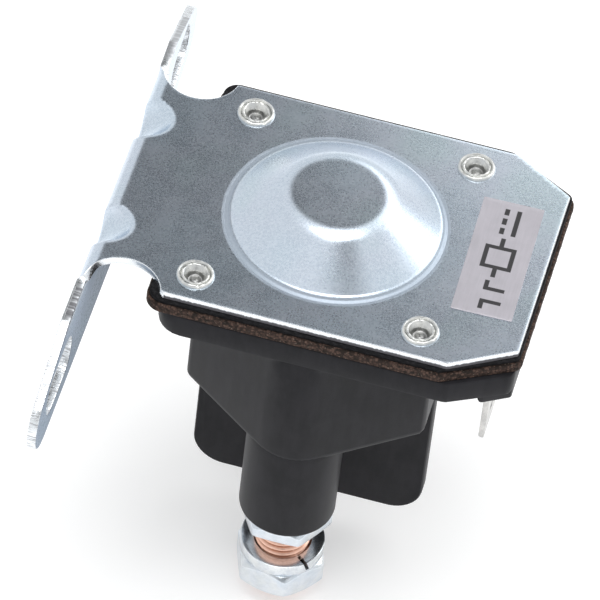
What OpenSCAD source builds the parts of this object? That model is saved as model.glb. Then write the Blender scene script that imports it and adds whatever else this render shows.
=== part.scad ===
// Starter solenoid relay on an L-shaped steel mounting bracket.
// X runs from the mounting face towards the blade terminals, Y runs along the two mounting slots
// and Z runs out of the domed top plate. The origin is on the mounting face, midway between the slots.

/* [Mounting bracket] */
// Thickness of the steel sheet
sheet_t = 1.3; // [1:0.1:1.6]
// Distance that the top plate's side edges lie inside the housing's flange
plate_inset = 1.2; // [0.8:0.1:1.6]
// Distance from the mounting face to the gaskets
near_room = 9.4; // [8.8:0.1:11]
// Length of each far corner cut, along the plate
corner_cut_x = 8.8; // [7:0.2:10]
// Length of each far corner cut, across the plate
corner_cut_y = 5.5; // [4.5:0.25:6.5]
// Distance from the slots to the mounting flange's lower edge
flange_wall = 2.5; // [2:0.1:4]
// Inside radius of the bend
bend_r = 1; // [0.6:0.1:1.4]
// Distance that the dome's axis lies off the slots' middle
dome_off = 1.2; // [0:0.1:1.4]
// Distance from a slot's outer end to its ear's tip
ear_wall = 5.1; // [4.6:0.1:7]
// Radius of each ear's tip
ear_tip_r = 4.4; // [4:0.1:5]
// Distance from a slot's centre back to where its ear's upper edge starts to slope
shoulder_back = 3.8; // [2:0.1:5]
// Drop from the plate's top to an ear's upper edge
ear_drop = 0.75; // [0.5:0.05:1.5]
// Distance between the two slots' centres
slot_pitch = 64.4; // [62:0.2:66]
// Length of each slot
slot_len = 12.6; // [10:0.2:13]
// Width of each slot
slot_w = 6.6; // [6:0.1:6.8]
// Drop from the plate's top to the slots' centre line
slot_drop = 7.8; // [7.6:0.1:8.2]
// Radius of each relief notch beside the bend
relief_r = 5.6; // [5:0.1:6]
// Distance from the mounting face to a relief notch's centre
relief_x = 6.2; // [5.8:0.1:6.4]
// Distance that a relief notch's centre lies outside the plate's edge
relief_out = 1.2; // [1:0.1:1.6]
// Distance from the plate's side edge to the middle of each gusset pressed into the bend
gusset_inset = 10.2; // [9.8:0.1:12]
// Radius of each gusset's groove
gusset_r = 4; // [3:0.1:4.4]
// Distance from the mounting face to a gusset's end on the plate
gusset_reach = 4.9; // [4.2:0.1:5.4]

/* [Dome] */
// Distance that the dome's foot lies outside the coil frame
dome_past = 0.9; // [0:0.1:1.4]
// Height of the dome above the plate
dome_h = 5.7; // [5:0.1:7]
// Distance that the dome's flat top reaches past the plunger
dome_top_past = 1; // [0.5:0.1:2]
// Width of the small step at the dome's foot
dome_step_w = 0.5; // [0.3:0.1:0.8]
// Height of the small step at the dome's foot
dome_step_h = 0.35; // [0.2:0.05:0.6]

/* [Rivets] */
// Distance that the rivets lie inside the ends of the housing's body, along the plate
rivet_inset = 1.3; // [0.8:0.05:1.8]
// Distance from the side edges of the housing's flange to the rivets
rivet_edge = 5.7; // [5.3:0.1:6]
// Distance that the rivets' centre lies beyond the dome's axis
rivet_shift = 0.15; // [0:0.05:0.4]
// Radius of a rivet's shank
rivet_r = 2.05; // [1.9:0.05:2.2]
// Radius of a rivet's hollow
rivet_hollow_r = 1.6; // [1.4:0.05:1.75]
// Depth of a rivet's hollow
rivet_hollow_depth = 1; // [0.5:0.25:3]
// Radius of a rivet's rolled lip
rivet_lip_r = 2.7; // [2.5:0.05:3]
// Radius of a rivet's head under the housing
rivet_head_r = 3.2; // [2.8:0.1:3.3]
// Height of a rivet's head
rivet_head_h = 0.9; // [0.7:0.1:1.2]

/* [Rating label] */
// Distance from the dome's foot to the label
label_gap = 2.7; // [2:0.1:4]
// Length of the label, across the plate
label_len = 22; // [18:0.5:24]
// Thickness of the label
label_t = 0.12; // [0.08:0.02:0.3]
// Distance from the plate's far edge to the label
label_margin = 2.6; // [2:0.1:3.2]

/* [Gaskets] */
// Thickness of the rubber gasket
rubber_t = 1; // [0.8:0.1:1.4]
// Thickness of the cork gasket
cork_t = 1.5; // [1.2:0.1:2]
// Distance that the rubber gasket's edge lies inside the cork gasket's
rubber_inset = 0.4; // [0.2:0.1:0.8]
// Distance that the cork gasket stands out at the housing's near edge
gasket_near_lip = 1.7; // [0:0.1:2.4]
// Distance that the cork gasket stands out at the housing's far edge
gasket_far_lip = 0.7; // [0:0.1:1.4]
// Radius of the gaskets' near corners
gasket_near_r = 2.6; // [1.5:0.1:5]
// Length of each far corner cut of the gaskets, along the plate
gasket_cut_x = 10.7; // [9:0.1:12]
// Length of each far corner cut of the gaskets, across the plate
gasket_cut_y = 6.7; // [5.5:0.1:7]
// Distance from the coil frame to the gaskets' openings
gasket_gap = 0.4; // [0.3:0.1:0.6]

/* [Housing] */
// Distance from the body's near end to the flange's near edge
case_near = 3.5; // [3:0.1:5]
// Distance from the body's far end to the flange's far edge, where the blades stand
case_far = 12.1; // [11:0.1:14]
// Width of the housing's flange and of the gaskets
case_w = 44; // [43.6:0.2:46]
// Distance that the housing's flange sits off the plate's middle
case_shift = 0.7; // [0:0.1:0.8]
// Radius of the housing's near corners
case_near_r = 4; // [3:0.25:5]
// Radius that rounds the housing's far corners
case_far_r = 1.5; // [1:0.25:2.5]
// Thickness of the housing's flange
case_flange_t = 3.9; // [3.7:0.1:4.5]
// Distance from the dome's axis to the coil's axis
coil_x = 0.55; // [0:0.05:0.6]
// Distance from the side edges of the housing's flange to its bore round the coil
bore_inset = 7; // [6.6:0.05:7.2]
// Wall between the bore and the body's ends
body_wall = 2.35; // [2:0.05:3]
// Room between the rivets' heads and the body's corners, across the plate
corner_room = 1.8; // [1.6:0.1:3]
// Radius that rounds the body's corners
skirt_r = 1.2; // [0.8:0.1:2]
// Thickness of the body's floor under the return spring
floor_t = 1.25; // [1:0.05:2]
// Distance from the side edges of the housing's flange to the axis of each terminal post
post_inset = 7; // [6.8:0.05:7.4]
// Radius of a terminal post
post_r = 6.9; // [6.8:0.05:7.2]
// Height of a terminal post below the body
post_h = 15.9; // [14:0.1:20]
// Radius that rounds a terminal post's end
post_edge_r = 0.5; // [0.3:0.1:1.6]
// Thickness of the barrier between the terminals
barrier_t = 3; // [2.5:0.1:3.6]
// Distance that the barrier's edges lie inside the body's ends
barrier_inset = 0.3; // [0:0.05:0.6]
// Height of the barrier below the body
barrier_h = 27.3; // [25:0.1:31]
// Radius that rounds the barrier's corners
barrier_r = 4.8; // [3:0.2:7]
// Room round the studs' heads in the pocket that the contact bar moves in
pocket_room = 0.8; // [0.5:0.1:1]

/* [Terminals] */
// Radius of the threaded studs
stud_r = 3.97; // [3.9:0.01:4]
// Pitch of the studs' thread
stud_pitch = 1.058; // [1:0.001:1.25]
// Radius of a stud's contact head
stud_head_r = 5.4; // [5:0.1:5.6]
// Thickness of a stud's contact head
stud_head_t = 2.2; // [1.8:0.1:2.6]
// Length that a stud shows below its loosened nut
stud_tail = 2.5; // [2.1:0.1:3]
// Distance across the flats of the base nuts
base_flats = 12; // [11.8:0.1:13]
// Distance across the flats of the outer nuts
outer_flats = 12; // [11.8:0.1:13]
// Thickness of the base nuts
base_nut_t = 2.4; // [2.2:0.1:3.6]
// Thickness of the outer nuts
outer_nut_t = 4.4; // [4:0.1:6.8]
// Thickness of the lock washers
washer_t = 2; // [1.6:0.1:2.4]
// Outside radius of the lock washers
washer_r = 6.1; // [6:0.05:6.5]
// Width of the cut through a lock washer
washer_cut = 1; // [0.7:0.1:1.4]
// Room left for a cable lug between a base nut and its lock washer
lug_room = 5.1; // [4:0.1:6]
// Running clearance of what turns or slides on a stud
stud_clearance = 0.06; // [0.04:0.01:0.09]

/* [Blade terminals] */
// Width of a blade
blade_w = 6.35; // [6:0.05:6.4]
// Thickness of a blade
blade_t = 0.8; // [0.8:0.05:1]
// Length of a blade below the housing
blade_len = 9.6; // [8:0.1:10.5]
// Distance from the far edge of the housing's flange to the blades
blade_edge = 3.25; // [3:0.05:4]
// Distance from the side edges of the housing's flange to each blade's middle
blade_inset = 8.4; // [8.2:0.1:9]
// Height of the boss around each blade's root
blade_boss_h = 1.4; // [1:0.1:2]
// Margin of the boss beside each blade
blade_boss_margin = 1.6; // [1.2:0.1:2]

/* [Coil] */
// Room between the steel coil frame and the housing's bore
frame_room = 0.4; // [0.3:0.05:0.6]
// Thickness of the steel coil frame
frame_t = 1.2; // [1:0.05:1.3]
// Height of the fixed core above the coil frame's floor
pole_t = 2.2; // [1.8:0.1:3]
// Width of the coil frame's rim, which the plate clamps
frame_rim_w = 2.2; // [1.8:0.1:2.6]
// Thickness of the cushion washer under the coil frame
cushion_t = 0.6; // [0.4:0.05:0.8]
// Wall of the bobbin's tube
bobbin_wall = 0.95; // [0.8:0.05:1.2]
// Thickness of the bobbin's flanges
bobbin_flange_t = 0.9; // [0.7:0.05:1.2]
// Depth of the winding below the bobbin's rim
winding_depth = 0.7; // [0.5:0.05:1.2]
// Thickness of the tape around the winding
tape_t = 0.25; // [0.15:0.05:0.4]
// Radius of the coil's leads
lead_r = 0.5; // [0.4:0.05:0.6]

/* [Plunger and contacts] */
// Plunger's radius as a share of the coil frame's
plunger_share = 0.404; // [0.38:0.002:0.41]
// Length of the plunger
plunger_len = 13.2; // [12.8:0.1:13.4]
// Travel of the plunger
plunger_travel = 2.6; // [2.4:0.1:2.8]
// Travel of the contact bar
contact_travel = 2; // [1.8:0.1:2.2]
// Running clearance of the plunger and its stem
slide_clearance = 0.08; // [0.04:0.01:0.09]
// Radius of the plunger's stem
stem_r = 1.5; // [1.3:0.05:1.6]
// Radius of the stem's collar
collar_r = 3.3; // [3.2:0.05:3.6]
// Thickness of the collar, the clip and the insulating washers
thin_t = 0.6; // [0.5:0.05:0.7]
// Width of the contact bar
bar_w = 9.5; // [9:0.1:10]
// Thickness of the contact bar
bar_t = 1.5; // [1.2:0.05:1.7]
// Distance that the contact bar reaches past a stud's axis
bar_past = 4; // [3.5:0.1:4.4]
// Radius of the springs' wire
wire_r = 0.25; // [0.2:0.01:0.28]
// Length of the contact spring
contact_spring_len = 2.6; // [2.5:0.05:2.8]
// Turns of the contact spring
contact_spring_turns = 2; // [1.5:0.5:2]
// Turns of the return spring
return_spring_turns = 3; // [2:0.5:3.5]

/* [Hidden] */
$fn = 64;

// Small sizes that belong to one piece each
over = 2;
seat_gap = 0.05;
fit_gap = 0.1;
hull_fn = 32;
nut_chamfer_angle = 30;
nut_mouth = 0.4;
front_base_turn = 0;
front_outer_turn = -11;
rear_base_turn = 11;
rear_outer_turn = 24;
front_split_turn = -40;
rear_split_turn = 70;
split_lean = 20;
blade_taper = 1;
blade_hole_r = 0.9;
blade_foot = 4;
pole_spigot_r = 3.4;
stem_socket = 3;
clip_r = 2.7;
bush_sleeve_r = 2.4;
bush_flange_r = 3.8;
recess_depth = 1;
stem_tail = 0.7;
bar_room = 1;
boss_back = 0.75;
post_proud = 0.2;
collar_drop = 0.4;
contact_spring_r = 2.6;
return_spring_r = 3.35;
cushion_w = 5.7;
plunger_edge = 0.4;
dome_steps = 14;

// Plan sizes that follow from the housing's width, in the plate's frame
plate_w = case_w - plate_inset * 2;
rivet_pitch_y = case_w - rivet_edge * 2;
post_pitch = case_w - post_inset * 2;
blade_pitch = case_w - blade_inset * 2;
gusset_pitch = plate_w - gusset_inset * 2;
case_bore_r = case_w / 2 - bore_inset;
frame_r = case_bore_r - frame_room;
frame_rim_r = frame_r + frame_rim_w;
dome_r = frame_r + dome_past;
plunger_r = frame_r * plunger_share;
dome_top_r = plunger_r + dome_top_past;
skirt_half_x = case_bore_r + body_wall;
skirt_corner_y = rivet_pitch_y / 2 - rivet_head_r - corner_room;
rivet_pitch_x = (skirt_half_x - rivet_inset) * 2;
case_back = skirt_half_x - coil_x + case_near;
case_front = skirt_half_x + coil_x + case_far;
gasket_back = case_back + gasket_near_lip;
gasket_front = case_front + gasket_far_lip;
plate_reach = case_front;
dome_axis = near_room + gasket_back;
blade_x = case_front - coil_x - blade_edge;
label_w = plate_reach - label_margin - label_gap - dome_r - dome_step_w;
flange_h = slot_drop + slot_w / 2 + flange_wall;
ear_reach = slot_pitch / 2 + slot_len / 2 + ear_wall;
ear_shoulder = slot_pitch / 2 - shoulder_back;

// Heights in the plate's frame, where the plate's top is at zero
z_rubber = -sheet_t;
z_cork = z_rubber - rubber_t;
z_case = z_cork - cork_t;
z_flange = z_case - case_flange_t;
z_plunger_top = dome_h - sheet_t - fit_gap;
z_plunger = z_plunger_top - plunger_len;
z_pole = z_plunger - plunger_travel - fit_gap;
z_frame_floor = z_pole - pole_t;
z_frame = z_frame_floor - frame_t;
frame_h = z_rubber - z_frame;
z_ledge = z_frame - cushion_t;
z_collar = z_frame - collar_drop;
z_spring_top = z_collar - thin_t;
z_bush = z_spring_top - contact_spring_len;
z_bar = z_bush - thin_t;
z_bar_foot = z_bar - bar_t;
z_clip = z_bar_foot - thin_t;
z_stem = z_clip - thin_t - stem_tail;
z_contact = z_bar_foot - contact_travel - seat_gap;
z_floor = z_contact - stud_head_t;
z_recess = z_floor - recess_depth;
z_skirt = z_recess - floor_t;
skirt_h = z_flange - z_skirt;
z_post = z_skirt - post_h;
z_base_nut = z_post - base_nut_t;
z_washer = z_base_nut - lug_room;
z_outer_nut = z_washer - washer_t;
z_stud = z_outer_nut - outer_nut_t - stud_tail;
z_boss = z_flange - blade_boss_h;
z_blade = z_boss - blade_len;
z_foot = z_case - lead_r * 2 - blade_t - fit_gap * 2;
z_lead = z_case - lead_r - fit_gap;

// Sizes of bores, fits and outlines
bend_out = bend_r + sheet_t;
ear_root = plate_w / 2 - fit_gap * 2;
bobbin_bore_r = plunger_r + slide_clearance;
cushion_r = case_bore_r - fit_gap * 3;
bobbin_tube_r = bobbin_bore_r + bobbin_wall;
bobbin_r = frame_r - frame_t - fit_gap * 2;
z_bobbin_top = z_rubber - fit_gap;
z_bobbin_foot = z_frame_floor + fit_gap;
winding_r = bobbin_r - winding_depth;
tape_r = winding_r + tape_t;
pocket_w = (stud_head_r + pocket_room) * 2;
pocket_reach = post_pitch / 2 + max(bar_past + bar_room, stud_head_r + fit_gap);
blade_angle = atan2(blade_pitch / 2, blade_x);
washer_hole_r = stud_r + stud_clearance;
rivet_hole_r = rivet_r + seat_gap;
post_bore_r = stud_r + fit_gap / 2;

// Moves a piece into the frame of the top plate, with the dome's axis at its middle
module on_plate() {
    translate([dome_axis, dome_off, slot_drop]) children();
}

// Moves a piece to the coil's axis, in the plate's frame
module on_coil() {
    on_plate() translate([coil_x, 0, 0]) children();
}

// Repeats a piece at both ends of a distance along Y
module at_both(pitch) {
    for (side = [-1, 1]) translate([0, side * pitch / 2, 0]) children();
}

// Repeats a piece at the four rivets
module at_rivets() {
    for (end = [-1, 1]) {
        translate([rivet_shift + end * rivet_pitch_x / 2, 0, 0]) at_both(rivet_pitch_y) children();
    }
}

// Disc with its upper face at a height
module disc(r, top, t) {
    translate([0, 0, top - t]) cylinder(r = r, h = t);
}

// Ring with its upper face at a height
module ring(r, hole_r, top, t) {
    difference() {
        disc(r, top, t);
        disc(hole_r, top + over, t + over * 2);
    }
}

// Slot's outline along X, with round ends
module stadium(length, width) {
    square([length - width, width], center = true);
    for (side = [-1, 1]) translate([side * (length - width) / 2, 0]) circle(d = width);
}

// Plate's outline with its cut corners
module plate_outline() {
    half = plate_w / 2;
    near = bend_out - dome_axis;
    polygon([
        [near, -half],
        [plate_reach - corner_cut_x, -half],
        [plate_reach, corner_cut_y - half],
        [plate_reach, half - corner_cut_y],
        [plate_reach - corner_cut_x, half],
        [near, half],
    ]);
}

// One quarter of a bent sheet, with its outer faces on the two axes
module bend_section() {
    translate([bend_out, -bend_out]) intersection() {
        difference() {
            circle(r = bend_out);
            circle(r = bend_r);
        }
        translate([-bend_out, 0]) square(bend_out);
    }
}

// Outline of one ear, from its root to its tip, in the mounting face
module ear_outline(root) {
    hull() {
        translate([root, -flange_h]) square([ear_shoulder - root, flange_h - ear_drop]);
        translate([ear_reach - ear_tip_r, ear_tip_r - flange_h]) circle(r = ear_tip_r);
    }
}

// Outline of the mounting flange with its ears and slots
module flange_outline() {
    difference() {
        union() {
            translate([dome_off - ear_root, -flange_h]) square([ear_root * 2, flange_h - bend_out]);
            ear_outline(ear_root + dome_off);
            mirror([1, 0]) ear_outline(ear_root - dome_off);
        }
        for (side = [-1, 1]) translate([side * slot_pitch / 2, -slot_drop]) stadium(slot_len, slot_w);
    }
}

// Round bar that slopes at forty-five degrees across the bend, for a gusset's groove
module gusset_bar(r) {
    out = gusset_r / sqrt(2);
    translate([gusset_reach - dome_axis - out, 0, out]) rotate([0, 45, 0]) cylinder(r = r, h = flange_h * 2, center = true);
}

// Outer height of the dome at a share of the way from its foot's step to its flat top
function dome_height(share) = dome_step_h + (dome_h - dome_step_h) * (1 - cos(180 * share)) / 2;

// Outer points of the dome, from its foot to its axis
function dome_points(drop) = concat(
    [[dome_r + dome_step_w, -drop], [dome_r, -drop]],
    [
        for (i = [0:dome_steps])
            [
                dome_r - dome_step_w - (dome_r - dome_step_w - dome_top_r) * i / dome_steps,
                dome_height(i / dome_steps) - drop
            ]
    ],
    [[0, dome_h - drop]]
);

// Shell of the dome, pressed up from the plate
module dome_shell() {
    lower = dome_points(sheet_t);
    last = len(lower) - 1;
    rotate_extrude($fn = 128) polygon(concat(dome_points(0), [for (i = [0:last]) lower[last - i]]));
}

// L-shaped bracket: domed top plate, bend with gussets, flange with two slotted ears
module mounting_bracket() {
    color("#b9c3c9") on_plate() {
        difference() {
            union() {
                translate([0, 0, -sheet_t]) linear_extrude(sheet_t) plate_outline();
                translate([-dome_axis, 0, 0]) rotate([90, 0, 0]) {
                    linear_extrude(ear_root * 2, center = true) bend_section();
                }
                at_both(gusset_pitch) intersection() {
                    gusset_bar(gusset_r + sheet_t);
                    translate([-dome_axis, -flange_h, -flange_h]) cube([flange_h, flange_h * 2, flange_h]);
                }
            }
            translate([0, 0, -over - sheet_t]) cylinder(r = dome_r + dome_step_w / 2, h = sheet_t + over * 2);
            at_rivets() disc(rivet_hole_r, over, sheet_t + over * 2);
            for (side = [-1, 1]) {
                translate([relief_x - dome_axis, side * (plate_w / 2 + relief_out), 0]) {
                    disc(relief_r, over, flange_h);
                }
            }
            at_both(gusset_pitch) gusset_bar(gusset_r);
        }
        difference() {
            translate([-dome_axis, -dome_off, 0]) rotate([90, 0, 90]) linear_extrude(sheet_t) flange_outline();
            at_both(gusset_pitch) gusset_bar(gusset_r);
        }
        dome_shell();
    }
}

// Section of one rivet: rolled lip, hollow shank and flat head
module rivet_section() {
    lip = (rivet_lip_r - rivet_hollow_r) / 2;
    difference() {
        union() {
            translate([0, z_flange]) square([rivet_r, -z_flange]);
            translate([0, z_flange - rivet_head_h]) square([rivet_head_r, rivet_head_h]);
            intersection() {
                translate([rivet_hollow_r + lip, 0]) circle(r = lip);
                square([rivet_lip_r, lip]);
            }
        }
        translate([0, -rivet_hollow_depth]) square([rivet_hollow_r, rivet_hollow_depth + over]);
    }
}

// Four semi-tubular rivets that hold plate, gaskets and housing together
module plate_rivets() {
    color("#d5d5cd") on_plate() at_rivets() rotate_extrude() rivet_section();
}

// Thin rating label, stuck on the plate between the dome and the far edge
module rating_label() {
    color("#a9a7b4") on_plate() translate([plate_reach - label_margin - label_w, -label_len / 2, 0]) {
        cube([label_w, label_len, label_t]);
    }
}

// Outline with two round near corners and two cut far corners, in the plate's frame
module base_outline(back, front, near_r, cut_x, cut_y, inset) {
    half = case_w / 2;
    translate([0, case_shift]) hull() {
        for (side = [-1, 1]) {
            translate([near_r - back, side * (half - near_r)]) circle(r = near_r - inset, $fn = hull_fn);
            translate([front - cut_x, side * (half - case_far_r)]) circle(r = case_far_r - inset, $fn = hull_fn);
            translate([front - case_far_r, side * (half - cut_y)]) circle(r = case_far_r - inset, $fn = hull_fn);
        }
    }
}

// Outline of the housing's flange
module case_outline() {
    base_outline(case_back, case_front, case_near_r, corner_cut_x, corner_cut_y, 0);
}

// Gasket of a thickness, with its upper face at a height and its opening round the coil frame
module gasket(top, t, opening_r, inset) {
    on_plate() difference() {
        translate([0, 0, top - t]) linear_extrude(t) difference() {
            base_outline(gasket_back, gasket_front, gasket_near_r, gasket_cut_x, gasket_cut_y, inset);
            translate([coil_x, 0]) circle(r = opening_r);
        }
        at_rivets() disc(rivet_hole_r, top + over, t + over * 2);
    }
}

// Black rubber gasket under the plate
module rubber_gasket() {
    color("#1d1d1f") gasket(z_rubber, rubber_t, frame_rim_r + gasket_gap, rubber_inset);
}

// Brown cork gasket under the rubber one
module cork_gasket() {
    color("#4a352a") gasket(z_cork, cork_t, frame_r + gasket_gap, 0);
}

// Plan of the housing's body, drawn round both terminal posts
module skirt_outline() {
    hull() {
        at_both(post_pitch) circle(r = post_r - post_proud);
        for (end = [-1, 1], side = [-1, 1]) {
            translate([end * (skirt_half_x - skirt_r), side * (skirt_corner_y - skirt_r)]) {
                circle(r = skirt_r, $fn = hull_fn);
            }
        }
    }
}

// Terminal post with a rounded end
module post() {
    translate([0, 0, z_post]) rotate_extrude() {
        translate([0, post_edge_r]) square([post_r, post_h - post_edge_r]);
        square([post_r - post_edge_r, post_h]);
        translate([post_r - post_edge_r, post_edge_r]) circle(r = post_edge_r);
    }
}

// Barrier that stands between the two terminals
module barrier() {
    half = skirt_half_x - barrier_inset;
    reach = half - barrier_r;
    translate([0, 0, z_skirt]) rotate([90, 0, 0]) linear_extrude(barrier_t, center = true) hull() {
        translate([-half, -barrier_h / 2]) square([half * 2, barrier_h / 2]);
        for (end = [-1, 1]) translate([end * reach, barrier_r - barrier_h]) circle(r = barrier_r, $fn = hull_fn);
    }
}

// Boss round the root of each blade, flush with the flange's edge
module blade_bosses() {
    half = blade_w / 2 + blade_boss_margin;
    translate([0, 0, z_boss]) linear_extrude(blade_boss_h) intersection() {
        case_outline();
        translate([coil_x + blade_x, 0]) at_both(blade_pitch) {
            translate([-blade_t / 2 - boss_back, -half]) square([case_front, half * 2]);
        }
    }
}

// Seats of the blade terminals and channels of the coil's leads
module blade_seats() {
    slack = fit_gap / 2;
    at_both(blade_pitch) {
        translate([blade_x - blade_t / 2 - slack, -blade_w / 2 - slack, z_boss - over]) {
            cube([blade_t + slack * 2, blade_w + slack * 2, -z_boss + over * 2]);
        }
        translate([blade_x - blade_t / 2 - blade_foot - slack, -blade_w / 2 - slack, z_foot]) {
            cube([blade_t + blade_foot + slack * 2, blade_w + slack * 2, -z_foot]);
        }
    }
    for (side = [-1, 1]) rotate([0, 0, side * blade_angle]) {
        translate([0, -lead_r - fit_gap, z_lead - lead_r - fit_gap]) {
            cube([blade_x, lead_r * 2 + fit_gap * 2, -z_lead]);
        }
    }
}

// Moulded housing: flange, body, two terminal posts and the barrier between them
module housing() {
    color("#2b2b2e") on_plate() difference() {
        union() {
            translate([0, 0, z_flange]) linear_extrude(case_flange_t) case_outline();
            blade_bosses();
            translate([coil_x, 0, 0]) {
                translate([0, 0, z_skirt]) linear_extrude(skirt_h) skirt_outline();
                at_both(post_pitch) post();
                barrier();
            }
        }
        at_rivets() disc(rivet_hole_r, over, over - z_flange + over);
        translate([coil_x, 0, 0]) {
            translate([0, 0, z_ledge]) cylinder(r = case_bore_r, h = -z_ledge);
            translate([0, 0, z_floor]) linear_extrude(-z_floor) rotate([0, 0, 90]) {
                stadium(pocket_reach * 2, pocket_w);
            }
            translate([0, 0, z_recess]) cylinder(r = return_spring_r + wire_r + fit_gap * 3, h = -z_recess);
            at_both(post_pitch) disc(post_bore_r, 0, over - z_post);
            blade_seats();
        }
    }
}

// Steel cup round the coil, with a rim clamped between the plate and the cork gasket
module coil_frame() {
    color("#8d9094") on_coil() difference() {
        union() {
            disc(frame_r, z_rubber, frame_h);
            disc(frame_rim_r, z_rubber, rubber_t);
        }
        disc(frame_r - frame_t, over, over - z_frame_floor);
        disc(pole_spigot_r, over, over * 2 - z_frame);
        for (side = [-1, 1]) rotate([0, 0, side * blade_angle]) {
            translate([0, 0, z_lead]) rotate([0, 90, 0]) cylinder(r = lead_r + fit_gap * 3, h = frame_r + over);
        }
    }
}

// Plastic bobbin that the coil is wound on
module coil_bobbin() {
    color("#d9d2bd") on_coil() difference() {
        union() {
            disc(bobbin_tube_r, z_bobbin_top, z_bobbin_top - z_bobbin_foot);
            disc(bobbin_r, z_bobbin_top, bobbin_flange_t);
            disc(bobbin_r, z_bobbin_foot + bobbin_flange_t, bobbin_flange_t);
        }
        disc(bobbin_bore_r, over, over * 2 - z_bobbin_foot);
    }
}

// Height of the winding between the bobbin's flanges
winding_top = z_bobbin_top - bobbin_flange_t;
winding_h = winding_top - z_bobbin_foot - bobbin_flange_t;

// Copper winding
module coil_winding() {
    color("#b5652f") on_coil() ring(winding_r, bobbin_tube_r, winding_top, winding_h);
}

// Tape wrapped round the winding
module winding_tape() {
    color("#c9b26a") on_coil() ring(tape_r, winding_r, winding_top, winding_h);
}

// Springy washer that presses the coil frame against the plate
module cushion_washer() {
    color("#33302d") on_coil() ring(cushion_r, cushion_r - cushion_w, z_frame, cushion_t);
}

// Fixed steel core, riveted through the coil frame's floor
module pole_core() {
    color("#9a9da1") on_coil() difference() {
        union() {
            disc(plunger_r, z_pole, z_pole - z_frame_floor);
            disc(pole_spigot_r, z_pole, z_pole - z_frame);
        }
        disc(stem_r + slide_clearance, over, over * 2 - z_frame);
    }
}

// Steel plunger, with a socket for its stem
module plunger() {
    color("#a7abb0") on_coil() difference() {
        translate([0, 0, z_plunger]) rotate_extrude() polygon([
            [0, 0],
            [plunger_r, 0],
            [plunger_r, plunger_len - plunger_edge],
            [plunger_r - plunger_edge, plunger_len],
            [0, plunger_len],
        ]);
        disc(stem_r, z_plunger + stem_socket, stem_socket + over);
    }
}

// Brass stem that carries the contact bar, with a collar above the contact spring
module plunger_stem() {
    color("#c9a45a") on_coil() {
        disc(stem_r, z_plunger + stem_socket, z_plunger + stem_socket - z_stem);
        disc(collar_r, z_collar, thin_t);
    }
}

// Clip on the stem, under the contact bar
module stem_clip() {
    color("#6f7276") on_coil() ring(clip_r, stem_r, z_clip, thin_t);
}

// Points round the wire at one step of a spring
function wire_ring(i, steps, mean_r, rise, turns, sides) =
    let (
        angle = 360 * turns * i / steps,
        out = [cos(angle), sin(angle), 0],
        slope = rise / (2 * PI * mean_r * turns),
        along = [-sin(angle), cos(angle), slope] / sqrt(1 + slope * slope),
        up = cross(out, along)
    )
    [
        for (k = [0:sides - 1])
            out * mean_r + [0, 0, rise * i / steps] + wire_r * (cos(360 * k / sides) * out + sin(360 * k / sides) * up)
    ];

// Spring wound as one unbroken wire, from its foot's height up
module spring(mean_r, foot, length, turns) {
    sides = 6;
    steps = ceil(turns * 12);
    rise = length - wire_r * 2;
    points = [for (i = [0:steps]) each wire_ring(i, steps, mean_r, rise, turns, sides)];
    walls = [
        for (i = [0:steps - 1], k = [0:sides - 1])
            let (a = i * sides + k, b = i * sides + (k + 1) % sides)
            each [[a, b + sides, b], [a, a + sides, b + sides]]
    ];
    foot_cap = [for (k = [1:sides - 2]) [0, k, k + 1]];
    top_cap = [for (k = [1:sides - 2]) [steps * sides, steps * sides + k + 1, steps * sides + k]];
    echo("least gap between turns", rise / turns - wire_r * 2);
    translate([0, 0, foot + wire_r]) polyhedron(points, concat(walls, foot_cap, top_cap));
}

// Spring between the stem's collar and the contact bar
module contact_spring() {
    color("#c3c6c9") on_coil() spring(contact_spring_r, z_bush, contact_spring_len, contact_spring_turns);
}

// Insulating bush between the stem and the contact bar
module bar_bush() {
    color("#7a3b22") on_coil() difference() {
        union() {
            disc(bush_flange_r, z_bush, thin_t);
            disc(bush_sleeve_r, z_bush, z_bush - z_bar_foot);
        }
        disc(stem_r + slide_clearance, over, over * 2 - z_bar_foot);
    }
}

// Insulating washer under the contact bar
module bar_washer() {
    color("#7a3b22") on_coil() ring(bush_flange_r, stem_r + slide_clearance, z_bar_foot, thin_t);
}

// Copper bar that bridges the two studs
module contact_bar() {
    color("#c0703f") on_coil() difference() {
        translate([0, 0, z_bar_foot]) linear_extrude(bar_t) rotate([0, 0, 90]) {
            stadium(post_pitch + bar_past * 2, bar_w);
        }
        disc(bush_sleeve_r, over, over * 2 - z_bar_foot);
    }
}

// Spring that lifts the contact bar and the plunger
module return_spring() {
    color("#c3c6c9") on_coil() spring(return_spring_r, z_recess, z_clip - z_recess, return_spring_turns);
}

// Copper stud with its contact head inside the housing
module stud() {
    disc(stud_head_r, z_contact, stud_head_t);
    disc(stud_r, z_contact, z_contact - z_stud);
}

// Stud nearest the viewer
module front_stud() {
    color("#c0703f") on_coil() translate([0, -post_pitch / 2, 0]) stud();
}

// Stud behind the barrier
module rear_stud() {
    color("#c0703f") on_coil() translate([0, post_pitch / 2, 0]) stud();
}

// Hexagon nut with chamfered corners, with its upper face at a height
module nut(top, t, flats, turn) {
    corner_r = flats / sqrt(3);
    drop = (corner_r - flats / 2) * tan(nut_chamfer_angle);
    mouth_r = stud_r + nut_mouth;
    hole_r = stud_r + stud_clearance;
    translate([0, 0, top - t]) difference() {
        intersection() {
            rotate([0, 0, turn]) cylinder(r = corner_r, h = t, $fn = 6);
            rotate_extrude() polygon([
                [0, 0],
                [flats / 2, 0],
                [corner_r, drop],
                [corner_r, t - drop],
                [flats / 2, t],
                [0, t],
            ]);
        }
        translate([0, 0, -over]) cylinder(r = hole_r, h = t + over * 2);
        cylinder(r1 = mouth_r, r2 = hole_r, h = nut_mouth);
        translate([0, 0, t - nut_mouth]) cylinder(r1 = hole_r, r2 = mouth_r, h = nut_mouth);
    }
}

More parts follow.
